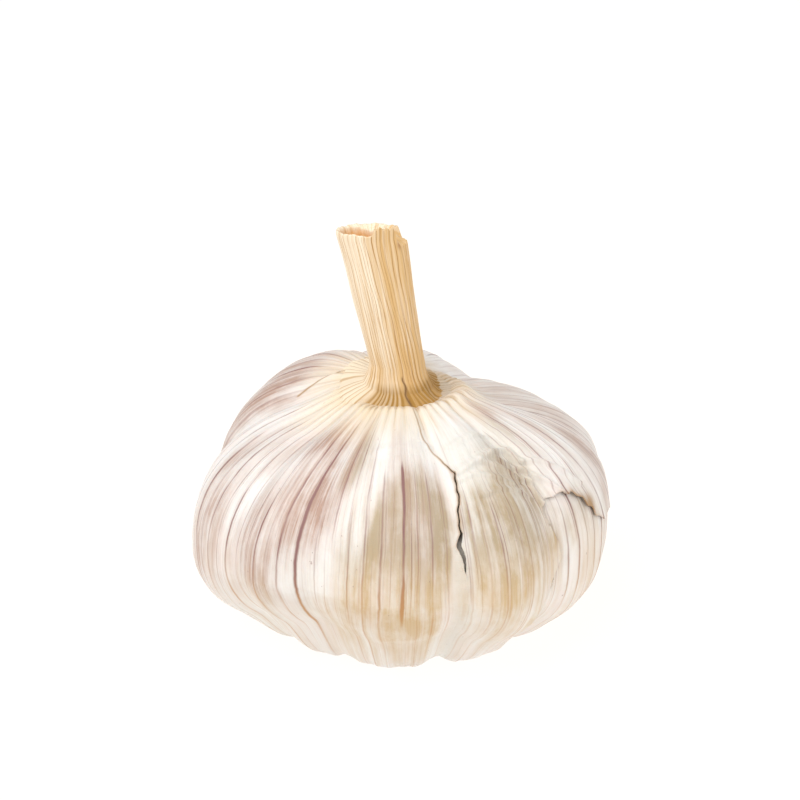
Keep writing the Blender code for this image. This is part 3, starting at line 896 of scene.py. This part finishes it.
COLLAR_TOP = 40.5 * MM
COLLAR_SECOND = 38.9 * MM  # height of the collar's second ring
COLLAR_FRONT = (-48, 150, 40)  # azimuths round the front and right, from, to and how softly
COLLAR_SHARES = (0, 0.25, 0.5, 0.7, 0.85, 1)
COLLARS = {  # ring radii, then heights over the skin from the third ring on, in mm
    "side": ((4.0, 4.4, 5.3, 6.9, 8.7, 10.6), (1.8, 0.8, 0.22, -0.5)),
    "front": ((4.0, 4.3, 5.0, 6.2, 7.3, 8.7), (1.6, 0.5, -0.2, -1.2)),
    "cup": ((4.0, 4.15, 4.4, 4.7, 5.4, 7.0), (2.2, 1.0, 0.1, -0.8)),
}


def skin_height(azimuth, radius):
    """Height of the bulb's form beside the neck."""
    falls = np.linspace(0.01, 0.2, 120)
    points = bare_form(np.full(falls.size, float(azimuth)), falls)
    return float(np.interp(radius, np.hypot(points[:, 0], points[:, 1]), points[:, 2]))


def collar_rings(azimuth):
    """The collar's profile at one azimuth, blended between its side, front and cup shapes."""
    turned = past_back(azimuth)
    front = float(between(turned, *COLLAR_FRONT))
    cup = float(between(turned, *CUP))
    shares = {"side": 1 - front, "front": front * (1 - cup), "cup": front * cup}
    radii = sum(share * np.array(COLLARS[shape][0]) for shape, share in shares.items()) * MM
    over = sum(share * np.array(COLLARS[shape][1]) for shape, share in shares.items()) * MM
    heights = [skin_height(azimuth, radius) + high for radius, high in zip(radii[2:], over)]
    return radii, np.array([COLLAR_TOP, COLLAR_SECOND, *heights])


def stem_rim(azimuth):
    """Height of the cut end: low at the right, a raised bundle at the front, torn a little all round."""
    turned = signed(azimuth)
    wave = np.radians(turned)
    bundle = between(turned, 5, 44, 9)
    torn = 0.07 * np.sin(wave * 9) + 0.05 * np.sin(wave * 23 + math.radians(40))
    torn = torn + 0.16 * bundle * np.sin(wave * 31)
    lower = 1.6 * between(turned, 47, 125, 10)
    left = 0.3 * bump(turned, -25, 65)
    return STEM_TOP + (0.55 - lower + torn + 1.15 * bundle + left) * MM


def hollow_share(x, y):
    """1 over the open, lens-shaped part of the cut end. x and y run from -1 to 1 over the end."""
    lens = math.hypot((x + 0.36) / 0.55, y / 0.74)
    return float(smooth((1 - lens) / 0.2))


STEM_RIM, STEM_FOOT_AT, COLLAR_END = 0.26, 0.72, 0.95  # fall over the stem's own closed surface
CAP_SPREAD = 0.8  # power that spreads the rows of faces over the cut end
HOLLOW_DEPTH = 4.5 * MM
COLLAR_THICKNESS = 0.35 * MM
RIB_HEIGHT, DENT_DEPTH = 0.105 * MM, 0.14 * MM
STEM_MAP_MARGIN = 0.01


def stem_cap(across, azimuth):
    """How far below the rim the cut end lies: a hollow at the left, packed leaves at the right."""
    angle = math.radians(azimuth)
    x, y = across * math.sin(angle), -across * math.cos(angle)
    leaf_zone = float(smooth((x - 0.05) / 0.2) * smooth((0.97 - across) / 0.1))
    leaves = 0.22 * MM * math.sin(x * 19 + 2.5 * y) * leaf_zone
    ragged = 0.2 * MM * noise.noise(Vector((x * 14, y * 9, 1.5))) * float(smooth((0.95 - across) / 0.1))
    return HOLLOW_DEPTH * hollow_share(x, y) - leaves - ragged


def wall_point(azimuth, height, across=1.0, sunk=0.0):
    """A point of the ribbed wall, or this far across the cut end and sunk below its rim."""
    share = float(stem_share(height))
    radius = STEM_WIDTH / 2 + (STEM_MOUTH_WIDTH - STEM_WIDTH) / 2 * share**1.6
    radius = (radius + stem_ribs(azimuth, height)) * across
    flat = stem_flatness(height)
    middle = STEM_TOP - 0.2 * MM
    level = middle + (height - middle) * across**3 - sunk
    x, y = stem_axis(level)
    angle = math.radians(azimuth)
    return Vector((x + math.sin(angle) * radius, y - math.cos(angle) * radius * flat, level))


def collar_point(azimuth, fall):
    """A point of the collar that lies on the skin, or of its own hidden underside."""
    share = min(1.0, (fall - STEM_FOOT_AT) / (COLLAR_END - STEM_FOOT_AT))
    radii, heights = collar_rings(azimuth)
    radius = float(np.interp(share, COLLAR_SHARES, radii))
    height = float(np.interp(share, COLLAR_SHARES, heights))
    ribs = float(stem_ribs(azimuth, COLLAR_TOP)) * (1 + 0.9 * share)
    top_flat = stem_flatness(COLLAR_TOP)
    flat = top_flat + (1 - top_flat) * float(smooth(share * 1.6))
    centred = float(smooth(share / 0.8))
    x, y = (lean + (own - lean) * centred for lean, own in zip(stem_axis(COLLAR_TOP), AXIS))
    inward = max(0.0, (fall - COLLAR_END) / (1 - COLLAR_END))
    height = height - COLLAR_THICKNESS * float(smooth(inward * 4))
    ribs = ribs * (1 - inward)
    radius = radius * (1 - inward) + ribs
    angle = math.radians(azimuth)
    return Vector((x + math.sin(angle) * radius, y - math.cos(angle) * radius * flat, height + ribs * share))


def stem_point(azimuth, fall):
    """The stem's closed surface: cut end, ribbed wall, collar, and back under it."""
    if fall >= STEM_FOOT_AT:
        return collar_point(azimuth, fall)
    top = stem_rim(azimuth)
    if fall < STEM_RIM:
        across = (fall / STEM_RIM) ** CAP_SPREAD
        return wall_point(azimuth, float(top), across, stem_cap(across, azimuth))
    share = (fall - STEM_RIM) / (STEM_FOOT_AT - STEM_RIM)
    return wall_point(azimuth, float(top + (COLLAR_TOP - top) * share))


def rib_azimuth(azimuth, height):
    """The ribs twist a little on the way up."""
    share = stem_share(height)
    waver = 1.6 * np.sin(share * 9 + azimuth * 0.05) + 0.9 * np.sin(share * 21 + azimuth * 0.11)
    return azimuth + 14 * share * np.sin(np.radians(azimuth + 60)) + waver * np.minimum(1, share * 8)


def stem_ribs(azimuth, height):
    """Relief of the ribs, uneven and lower at the left, over shallow dents."""
    angle = math.radians(azimuth)
    sine, cosine = math.sin(angle), math.cos(angle)
    uneven = 0.75 + 0.7 * noise.noise(Vector((sine * 4, cosine * 4, height * 110)))
    dent = DENT_DEPTH * noise.noise(Vector((sine * 1.6, cosine * 1.6, height * 150 + 7)))
    right = float(smooth((signed(azimuth) + 50) / 50)) if azimuth > -130 else 1
    height_here = RIB_HEIGHT * (0.5 + 0.5 * right) * uneven
    return height_here * float(gathers(rib_azimuth(azimuth, height))) + dent


def stem_stain(azimuth, fall, height):
    """Dark foot, dark right side, the hollow's inside, and the ribs' crests."""
    turned = past_back(azimuth)
    foot = smooth((fall - 0.765) / 0.08) * between(turned, -50, 150, 40)
    foot = foot + 0.4 * smooth((fall - 0.80) / 0.05) * between(turned, *CUP)
    right = smooth((turned + 8) / 24) * smooth((160 - turned) / 40)
    right = right * (0.85 + 0.3 * smooth((height - 0.048) / 0.008)) + 0.45 * smooth((0.045 - height) / 0.006)
    across = np.clip(fall / STEM_RIM, 0, 1) ** CAP_SPREAD
    angle = np.radians(azimuth)
    hollows = [hollow_share(x, y) for x, y in zip(across * np.sin(angle), -across * np.cos(angle))]
    inside = np.minimum(1, 3 * np.array(hollows)) * (fall < STEM_RIM)
    crests = np.where(fall > STEM_RIM, rib_crest(rib_azimuth(azimuth, height)), 0.7)
    return np.clip(foot, 0, 1), np.clip(right, 0, 1), inside, crests


def stem_age(azimuth, fall, height):
    """Where the collar takes the skin's colour, a browned spot on the rim, and a crack at the foot."""
    turned = past_back(azimuth)
    merging = smooth((fall - 0.77) / 0.10) * (1 - between(turned, *COLLAR_FRONT))
    browned = bump(turned, 50, 4) * bump(height, STEM_TOP - 0.9 * MM, 0.6 * MM)
    crack = bump(turned, 11 + 2 * np.sin(height / MM * 3), 1.6)
    crack = crack * between(height, 36.3 * MM, 39.6 * MM, 0.5 * MM)
    return merging, browned, crack


def make_stem(material):
    """The dry neck: a closed surface over its cut end, its wall and the collar at its foot."""
    bm, azimuth, fall = new_ball(480, 120)
    for vertex, a, f in zip(bm.verts, azimuth, fall):
        vertex.co = stem_point(float(a), float(f))
    height = np.array([vertex.co.z for vertex in bm.verts])
    paint(bm, "stain", stem_stain(azimuth, fall, height))
    paint(bm, "age", stem_age(azimuth, fall, height))
    write_stem_map(bm)
    new_piece("stem_wall", bm, material, "stem")


def write_stem_map(bm):
    """One map, with the azimuth across and the fall down."""
    flat = bm.loops.layers.uv.new("OFBake")
    turn, down = skin_layers(bm)
    for face in bm.faces:
        azimuths = [loop.vert[turn] for loop in face.loops]
        over_seam = max(azimuths) - min(azimuths) > 180
        for loop, azimuth in zip(face.loops, azimuths):
            if over_seam and azimuth < 0:
                azimuth += 360
            across = (azimuth + 180) / MAP_SPAN
            loop[flat].uv = (across, STEM_MAP_MARGIN + (1 - 2 * STEM_MAP_MARGIN) * loop.vert[down])


# ---------------------------------------------------------------- the roots


ROOT_DISC_RADIUS, ROOT_DISC_HALF = 6.5 * MM, 0.75 * MM
ROOT_DISC_LEVEL = 2.1 * MM
ROOT_COUNT = 210
ROOT_SPREAD = 6.3 * MM  # radius within which the roots grow
ROOT_TOP = 1.9 * MM
ROOT_LENGTH = 2.6 * MM  # of the longest
ROOT_THICKNESS = (0.20 * MM, 0.36 * MM)
GOLDEN_TURN = math.radians(137.508)  # from each root to the next, so that they fill the disc evenly


def add_root_disc(bm, middle):
    """The corky disc, a flat rough ball."""
    bmesh.ops.create_uvsphere(bm, u_segments=64, v_segments=24, radius=1)
    for vertex in bm.verts:
        x, y, z = vertex.co
        rough = 0.25 * MM * noise.noise(Vector((x * 9, y * 9, z * 3)))
        level = ROOT_DISC_LEVEL + z * ROOT_DISC_HALF + rough
        vertex.co = Vector((middle.x + x * ROOT_DISC_RADIUS, middle.y + y * ROOT_DISC_RADIUS, level))


def add_root(bm, middle, index, draw):
    """A short trimmed root that leans outwards, more so near the disc's rim."""
    radius = ROOT_SPREAD * math.sqrt((index + 0.5) / ROOT_COUNT)
    angle = index * GOLDEN_TURN + draw.uniform(-0.12, 0.12)
    outward = Vector((math.cos(angle), math.sin(angle), 0))
    start = Vector((middle.x, middle.y, ROOT_TOP)) + outward * radius
    tilt = 0.7 * radius / ROOT_SPREAD + draw.uniform(-0.35, 0.35)
    way = (outward * math.sin(tilt) + Vector((0, 0, -math.cos(tilt)))).normalized()
    length = min(ROOT_LENGTH, (start.z - draw.uniform(0.15, 0.9) * MM) / -way.z)
    thick = draw.uniform(*ROOT_THICKNESS)
    turn = way.to_track_quat("Z", "Y").to_matrix().to_4x4()
    made = bmesh.ops.create_cone(
        bm, cap_ends=True, segments=6, radius1=thick, radius2=thick * 0.7, depth=length,
        matrix=Matrix.Translation(start) @ turn @ Matrix.Translation((0, 0, length / 2)),
    )
    bend = draw.uniform(-0.2, 0.2) * MM
    for vertex in made["verts"]:
        if vertex.co.z < start.z - length / 2:
            vertex.co.x += bend


def make_roots(material):
    """The root plate's rough disc and its trimmed roots."""
    low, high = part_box("roots")
    middle = (low + high) / 2
    draw = random.Random(5)
    bm = bmesh.new()
    add_root_disc(bm, middle)
    for index in range(ROOT_COUNT):
        add_root(bm, middle, index, draw)
    keep_above_floor(bm)
    new_piece("root_plate", bm, material, "roots")


# ---------------------------------------------------------------- materials


class Nodes:
    """Short calls for building a material's nodes."""

    def __init__(self, name):
        self.material = bpy.data.materials.new(name)
        self.material.use_nodes = True
        self.tree = self.material.node_tree
        self.shader = self.tree.nodes["Principled BSDF"]

    def new(self, kind, **settings):
        node = self.tree.nodes.new(kind)
        for name, value in settings.items():
            setattr(node, name, value)
        return node

    def put(self, socket, value):
        if isinstance(value, bpy.types.NodeSocket):
            self.tree.links.new(value, socket)
        elif isinstance(value, tuple) and len(value) == 3 and len(socket.default_value) == 4:
            socket.default_value = (*value, 1)
        else:
            socket.default_value = value

    def math(self, operation, a, b=0.0, clamp=False):
        node = self.new("ShaderNodeMath", operation=operation, use_clamp=clamp)
        self.put(node.inputs[0], a)
        self.put(node.inputs[1], b)
        return node.outputs[0]

    def times(self, a, b, clamp=False):
        return self.math("MULTIPLY", a, b, clamp)

    def plus(self, a, b, clamp=False):
        return self.math("ADD", a, b, clamp)

    def minus(self, a, b, clamp=False):
        return self.math("SUBTRACT", a, b, clamp)

    def power(self, a, b):
        return self.math("POWER", a, b)

    def to_whole(self, value):
        """Distance to the nearest whole number."""
        return self.math("ABSOLUTE", self.minus(self.math("FRACT", self.plus(value, 0.5)), 0.5))

    def span(self, value, low, high, to_low=0.0, to_high=1.0):
        """value from low..high onto to_low..to_high, eased, and held at the ends."""
        node = self.new("ShaderNodeMapRange", interpolation_type="SMOOTHSTEP")
        for socket, number in zip(node.inputs, (value, low, high, to_low, to_high)):
            self.put(socket, number)
        return node.outputs[0]

    def mix(self, share, a, b):
        """a where the share is 0, b where it is 1."""
        node = self.new("ShaderNodeMix", data_type="RGBA")
        for index, value in ((0, share), (6, a), (7, b)):
            self.put(node.inputs[index], value)
        return node.outputs[2]

    def noise(self, place, scale, detail=3.0, rough=0.55, distortion=0.0):
        node = self.new("ShaderNodeTexNoise")
        self.put(node.inputs["Vector"], place)
        self.put(node.inputs["Scale"], scale)
        self.put(node.inputs["Detail"], detail)
        self.put(node.inputs["Roughness"], rough)
        self.put(node.inputs["Distortion"], distortion)
        return node.outputs["Fac"]

    def grain(self, flat, across, along, detail, rough=0.55, distortion=0.0):
        """Noise on a flat map, with this many blotches a unit across and along it."""
        node = self.new("ShaderNodeMapping")
        self.put(node.inputs["Vector"], flat)
        node.inputs["Scale"].default_value = (across, along, 1.0)
        return self.noise(node.outputs[0], 1.0, detail, rough, distortion)

    def flat_map(self, name):
        return self.new("ShaderNodeUVMap", uv_map=name).outputs[0]

    def attribute(self, name):
        """(red, green, blue, alpha) of a colour attribute."""
        node = self.new("ShaderNodeAttribute", attribute_name=name)
        parts = self.new("ShaderNodeSeparateColor")
        self.put(parts.inputs[0], node.outputs["Color"])
        return (*parts.outputs[:3], node.outputs["Alpha"])

    def bumps(self, height, strength, distance, normal=None):
        node = self.new("ShaderNodeBump")
        self.put(node.inputs["Strength"], strength)
        self.put(node.inputs["Distance"], distance)
        self.put(node.inputs["Height"], height)
        if normal is not None:
            self.put(node.inputs["Normal"], normal)
        return node.outputs[0]

    def finish(self, **inputs):
        """Sets the shader's inputs, whose names have _ for their spaces."""
        for name, value in inputs.items():
            self.put(self.shader.inputs[name.replace("_", " ")], value)
        return self.material


# Base colours, as linear red, green and blue.
WHITE = (0.90, 0.885, 0.868)
PINKISH = (0.865, 0.79, 0.755)
GREYISH = (0.74, 0.69, 0.66)
PURPLE = (0.44, 0.285, 0.225)
VEIN_PURPLE = (0.25, 0.125, 0.115)
VEIN_TAN = (0.52, 0.27, 0.10)
TAN = (0.44, 0.345, 0.225)
AMBER = (0.64, 0.47, 0.27)
MILK = (0.78, 0.755, 0.70)
STRAW = (0.81, 0.65, 0.44)
OCHRE = (0.35, 0.185, 0.035)
BROWN = (0.40, 0.24, 0.11)
# Darker underside, and painted shade in the pleats' valleys.
DARKENING_AND_SHADE = (0.60, 0.47, 0.32)
# Painted shade on the layer beneath: in the split, under the curled flap and along the torn edge.
SPLIT_SHADE = (0.07, 0.05, 0.03)
STEM_PALE = (0.90, 0.775, 0.60)
STEM_DEEP = (0.69, 0.45, 0.20)
STEM_VALLEY = (0.42, 0.215, 0.06)
STEM_THREAD = (0.54, 0.30, 0.10)
STEM_GLINT = (0.95, 0.85, 0.68)
STEM_INSIDE = (0.82, 0.40, 0.06)
STEM_BROWNED = (0.40, 0.18, 0.05)
STEM_CRACK = (0.19, 0.095, 0.03)
COLLAR_CREST = (0.83, 0.71, 0.545)
COLLAR_VALLEY = (0.56, 0.40, 0.24)
CORK = (0.52, 0.38, 0.22)
CORK_DARK = (0.24, 0.15, 0.08)
ROOT_FIBRE = (0.70, 0.58, 0.40)
FLOOR_TINT = (0.17, 0.14, 0.105)


class Skin(Nodes):
    """The papery skin. Its patterns follow the veins map and the painted values."""

    def __init__(self, name):
        super().__init__(name)
        self.flat = self.flat_map("veins")
        parts = self.new("ShaderNodeSeparateXYZ")
        self.put(parts.inputs[0], self.flat)
        self.across, self.fall = parts.outputs[:2]
        # The tan channel also holds painted shade under the torn flap.
        self.strength, self.purple, self.tan, self.milk = self.attribute("stain")
        self.dry, self.dirt, self.browned, self.crease = self.attribute("age")
        self.fibre = self.grain(self.flat, 9.0, 5.0, 5.0, 0.6)
        self.mottle = self.grain(self.flat, 0.75, 11.0, 5.0, 0.66)
        self.streak = self.grain(self.flat, 3.2, 3.0, 4.0, 0.6)
        self.warm = self.span(self.plus(self.fall, self.times(self.tan, 0.08)), 0.45, 0.62)
        self.vein_colour = self.mix(self.warm, VEIN_PURPLE, VEIN_TAN)
        self.lay_veins()

    def lay_veins(self):
        """The veins' lines, the halos beside them, and three hair lines from vein to vein."""
        waver = self.times(self.minus(self.grain(self.flat, 0.6, 22.0, 2.0), 0.5), 0.12)
        place = self.plus(self.across, waver)
        away = self.to_whole(place)
        width = self.plus(0.055, self.times(self.strength, 0.105))
        line = self.minus(1.0, self.math("DIVIDE", away, width), clamp=True)
        line = self.times(self.power(line, 0.8), self.power(self.strength, 0.6))
        patchy = self.span(self.grain(self.flat, 0.9, 9.0, 2.0), 0.3, 0.62, 0.45, 1.0)
        darker = self.plus(1.3, self.times(self.strength, 0.9))
        self.line = self.times(self.times(line, patchy), darker, clamp=True)

        halo = self.minus(1.0, self.times(away, 3.2), clamp=True)
        self.halo = self.times(self.times(halo, self.power(self.strength, 1.6)), 0.6)
        third = self.math("ABSOLUTE", self.minus(self.math("FRACT", self.times(place, 3.0)), 0.5))
        self.hair = self.times(self.span(third, 0.12, 0.0), self.span(self.fibre, 0.42, 0.62))

    def ground(self):
        """The bare paper, white to pinkish and greyish, and milky where it is loose."""
        broad = self.grain(self.flat, 0.7, 5.0, 3.0)
        colour = self.mix(self.span(broad, 0.35, 0.7), WHITE, PINKISH)
        colour = self.mix(self.span(self.mottle, 0.42, 0.72, 0.0, 0.3), colour, GREYISH)
        return self.mix(self.times(self.milk, 0.75), colour, MILK)

    def flushed(self, colour):
        """Purple flushes, broken by the streaks, the fibres and the mottle."""
        streaky = self.times(self.purple, self.span(self.streak, 0.3, 0.68, 0.62, 1.25))
        share = self.plus(streaky, self.times(self.halo, 0.5))
        share = self.times(share, self.span(self.fibre, 0.25, 0.75, 0.6, 1.15))
        share = self.times(share, self.span(self.mottle, 0.3, 0.65, 0.75, 1.2))
        return self.mix(self.times(share, 1.1, clamp=True), colour, PURPLE)

    def tanned(self, colour):
        """Tan where the skin is weathered, amber lower down, and less of it over purple."""
        blotch = self.grain(self.flat, 2.2, 4.0, 4.0)
        share = self.times(self.tan, self.span(blotch, 0.3, 0.7, 0.55, 1.1), clamp=True)
        share = self.times(share, self.span(self.mottle, 0.3, 0.65, 0.7, 1.15), clamp=True)
        share = self.times(share, self.span(self.purple, 0.2, 1.0, 1.0, 0.7))
        return self.mix(share, colour, self.mix(self.span(self.fall, 0.36, 0.52), TAN, AMBER))

    def veined(self, colour):
        """Hair lines, stripes, threads and the veins themselves, one over another."""
        coloured = self.plus(0.07, self.times(self.plus(self.purple, self.tan), 0.16))
        colour = self.mix(self.times(self.hair, coloured), colour, self.vein_colour)
        stripe = self.times(self.span(self.streak, 0.54, 0.72), self.plus(0.04, self.times(self.tan, 0.28)))
        colour = self.mix(stripe, colour, self.mix(self.warm, PURPLE, VEIN_TAN))
        thread = self.span(self.grain(self.flat, 7.0, 1.4, 2.0, 0.5), 0.60, 0.70)
        thread = self.times(thread, self.plus(0.05, self.times(self.tan, 0.75)), clamp=True)
        colour = self.mix(thread, colour, self.vein_colour)
        return self.mix(self.line, colour, self.vein_colour)

    def aged(self, colour, brown_and_shade_colour):
        """Flecks, straw and ochre towards the neck, darkening low down with painted shade in the pleats'
        valleys, and the browned edges, which on the layer beneath are painted shade.
        """
        fleck = self.span(self.grain(self.flat, 3.0, 60.0, 2.0), 0.735, 0.76)
        colour = self.mix(self.times(fleck, 0.5), colour, VEIN_PURPLE)
        colour = self.mix(self.times(self.dry, self.span(self.fibre, 0.3, 0.7, 0.6, 1.0)), colour, STRAW)
        crease = self.times(self.crease, self.span(self.fibre, 0.35, 0.65, 0.35, 0.95))
        colour = self.mix(crease, colour, OCHRE)
        # Darker low down, and painted shade in the pleats' valleys.
        colour = self.mix(self.times(self.dirt, self.span(self.fibre, 0.3, 0.7, 0.3, 0.9)), colour, DARKENING_AND_SHADE)
        # On the layer beneath the browned channel is painted shade, coloured SPLIT_SHADE.
        return self.mix(self.browned, colour, brown_and_shade_colour)

    def relief(self):
        """Fine ridges along the veins, and wrinkles across them where the skin is loose."""
        ridges = self.plus(self.times(self.fibre, 0.6), self.times(self.halo, 1.2))
        ridges = self.plus(ridges, self.times(self.hair, 0.5))
        normal = self.bumps(ridges, 0.42, 0.18 * MM)
        wrinkle = self.grain(self.flat, 1.3, 42.0, 5.0, 0.6, 0.8)
        return self.bumps(self.times(wrinkle, self.plus(0.25, self.milk)), 0.55, 0.3 * MM, normal)


def skin_material(name, brown_and_shade_colour, coat=0.0):
    skin = Skin(name)
    colour = skin.veined(skin.tanned(skin.flushed(skin.ground())))
    return skin.finish(
        Base_Color=skin.aged(colour, brown_and_shade_colour),
        Roughness=skin.span(skin.fibre, 0.3, 0.7, 0.42, 0.58),
        Normal=skin.relief(),
        Sheen_Weight=0.25,
        Sheen_Roughness=0.4,
        Specular_IOR_Level=0.45,
        Coat_Weight=coat,
        Subsurface_Weight=0.12,
        Subsurface_Scale=0.6 * MM,
        Subsurface_Radius=(1.0, 0.6, 0.4),
    )


def stem_material():
    """Dry straw-coloured fibres, darker in the valleys between the ribs and towards the right."""
    n = Nodes("dry_stem")
    foot, right, inside, crest = n.attribute("stain")
    merging, browned, crack, _ = n.attribute("age")
    flat = n.flat_map("OFBake")
    fibre = n.grain(flat, 170.0, 9.0, 4.0, 0.6)
    broad = n.grain(flat, 26.0, 2.5, 3.0, 0.5)
    by_rib = n.grain(flat, 75.0, 1.6, 2.0, 0.5)
    thread = n.grain(flat, 230.0, 2.5, 2.0, 0.5)

    shade = n.plus(n.times(right, 0.85), n.span(broad, 0.35, 0.7, -0.15, 0.3))
    shade = n.plus(shade, n.span(by_rib, 0.35, 0.68, -0.15, 0.4), clamp=True)
    colour = n.mix(shade, STEM_PALE, STEM_DEEP)
    valley = n.times(n.span(crest, 0.42, 0.05), n.span(by_rib, 0.3, 0.6, 0.3, 1.0))
    colour = n.mix(valley, colour, STEM_VALLEY)
    colour = n.mix(n.span(thread, 0.56, 0.68, 0.0, 0.75), colour, STEM_THREAD)
    colour = n.mix(n.span(fibre, 0.55, 0.8, 0.0, 0.4), colour, STEM_GLINT)
    colour = n.mix(n.times(inside, 0.95), colour, STEM_INSIDE)
    colour = n.mix(n.times(foot, n.span(crest, 0.95, 0.4, 0.55, 1.0)), colour, OCHRE)

    collar = n.mix(n.span(crest, 0.45, 0.05), COLLAR_CREST, COLLAR_VALLEY)
    colour = n.mix(n.times(merging, 0.95), colour, collar)
    colour = n.mix(n.times(browned, 0.9), colour, STEM_BROWNED)
    colour = n.mix(crack, colour, STEM_CRACK)
    return n.finish(
        Base_Color=colour, Roughness=0.62, Normal=n.bumps(fibre, 0.6, 0.15 * MM),
        Specular_IOR_Level=0.3, Sheen_Weight=0.15,
    )


def roots_material():
    """Corky brown, with paler fibres."""
    n = Nodes("dry_roots")
    place = n.new("ShaderNodeTexCoord").outputs["Object"]
    blotch = n.noise(place, 900.0, 4.0)
    fine = n.noise(place, 4200.0)
    colour = n.mix(n.span(blotch, 0.35, 0.65), CORK, CORK_DARK)
    colour = n.mix(n.span(fine, 0.5, 0.75, 0.0, 0.6), colour, ROOT_FIBRE)
    return n.finish(Base_Color=colour, Roughness=0.85, Normal=n.bumps(fine, 0.6, 0.2 * MM))


# ---------------------------------------------------------------- stage


FLOOR_GLOW = 0.915
WARM_WHITE = (1.0, 0.995, 0.985, 1.0)


def make_stage():
    """A plain pale floor that glows a little, so that it runs into the background."""
    bm = bmesh.new()
    bmesh.ops.create_grid(bm, x_segments=1, y_segments=1, size=3.0)
    mesh = bpy.data.meshes.new("floor")
    bm.to_mesh(mesh)
    bm.free()
    floor = bpy.data.objects.new("floor", mesh)
    bpy.context.scene.collection.objects.link(floor)
    pale = Nodes("pale_floor").finish(
        Base_Color=FLOOR_TINT, Roughness=0.9, Specular_IOR_Level=0.1,
        Emission_Color=WARM_WHITE, Emission_Strength=FLOOR_GLOW,
    )
    mesh.materials.append(pale)


LIT_POINT = Vector((0, 0, 0.02))
SKY_STRENGTH = 0.54


def area_light(name, place, size, power, colour):
    """A round soft light that looks at the middle of the bulb."""
    data = bpy.data.lights.new(name, "AREA")
    data.shape = "DISK"
    data.size = size
    data.energy = power
    data.color = colour
    light = bpy.data.objects.new(name, data)
    light.location = place
    light.rotation_euler = (LIT_POINT - light.location).to_track_quat("-Z", "Y").to_euler()
    bpy.context.scene.collection.objects.link(light)


def light_scene():
    """A pale studio, with a large key light at the upper left and a fill at the right."""
    world = bpy.data.worlds.new("studio")
    bpy.context.scene.world = world
    world.use_nodes = True
    background = world.node_tree.nodes["Background"]
    background.inputs["Color"].default_value = (1.0, 0.997, 0.993, 1)
    background.inputs["Strength"].default_value = SKY_STRENGTH
    area_light("key", (-0.30, -0.26, 0.60), size=0.70, power=4.3, colour=(1.0, 0.993, 0.98))
    area_light("fill", (0.55, -0.25, 0.35), size=0.5, power=1.4, colour=(1.0, 0.985, 0.965))


CAMERA_ELEVATION = math.radians(27)
CAMERA_DISTANCE = 0.327
CAMERA_LENS, CAMERA_SENSOR = 99.3, 36.0  # in mm
ORBIT_HEIGHT = 0.02
AIM_SHIFT = (-0.15 * MM, 12.9 * MM)  # right and up, as the camera sees it


def make_camera():
    """Looks down on the bulb from a third of a metre."""
    middle = Vector((AXIS.x, AXIS.y, ORBIT_HEIGHT))
    back = Vector((0, -math.cos(CAMERA_ELEVATION), math.sin(CAMERA_ELEVATION)))
    up = Vector((0, math.sin(CAMERA_ELEVATION), math.cos(CAMERA_ELEVATION)))
    data = bpy.data.cameras.new("camera")
    data.sensor_width = CAMERA_SENSOR
    data.lens = CAMERA_LENS
    camera = bpy.data.objects.new("camera", data)
    camera.location = middle + back * CAMERA_DISTANCE
    aim = middle + Vector((AIM_SHIFT[0], 0, 0)) + up * AIM_SHIFT[1]
    camera.rotation_euler = (aim - camera.location).to_track_quat("-Z", "Y").to_euler()
    bpy.context.scene.collection.objects.link(camera)
    bpy.context.scene.camera = camera


def set_view():
    view = bpy.context.scene.view_settings
    view.view_transform = "Standard"
    view.look = "None"
    view.exposure = 0.0


make_camera()
set_view()
light_scene()
make_stage()
make_inner_skin(skin_material("inner_skin", SPLIT_SHADE, coat=0.08))
make_outer_skin(skin_material("outer_skin", BROWN))
make_stem(stem_material())
make_roots(roots_material())
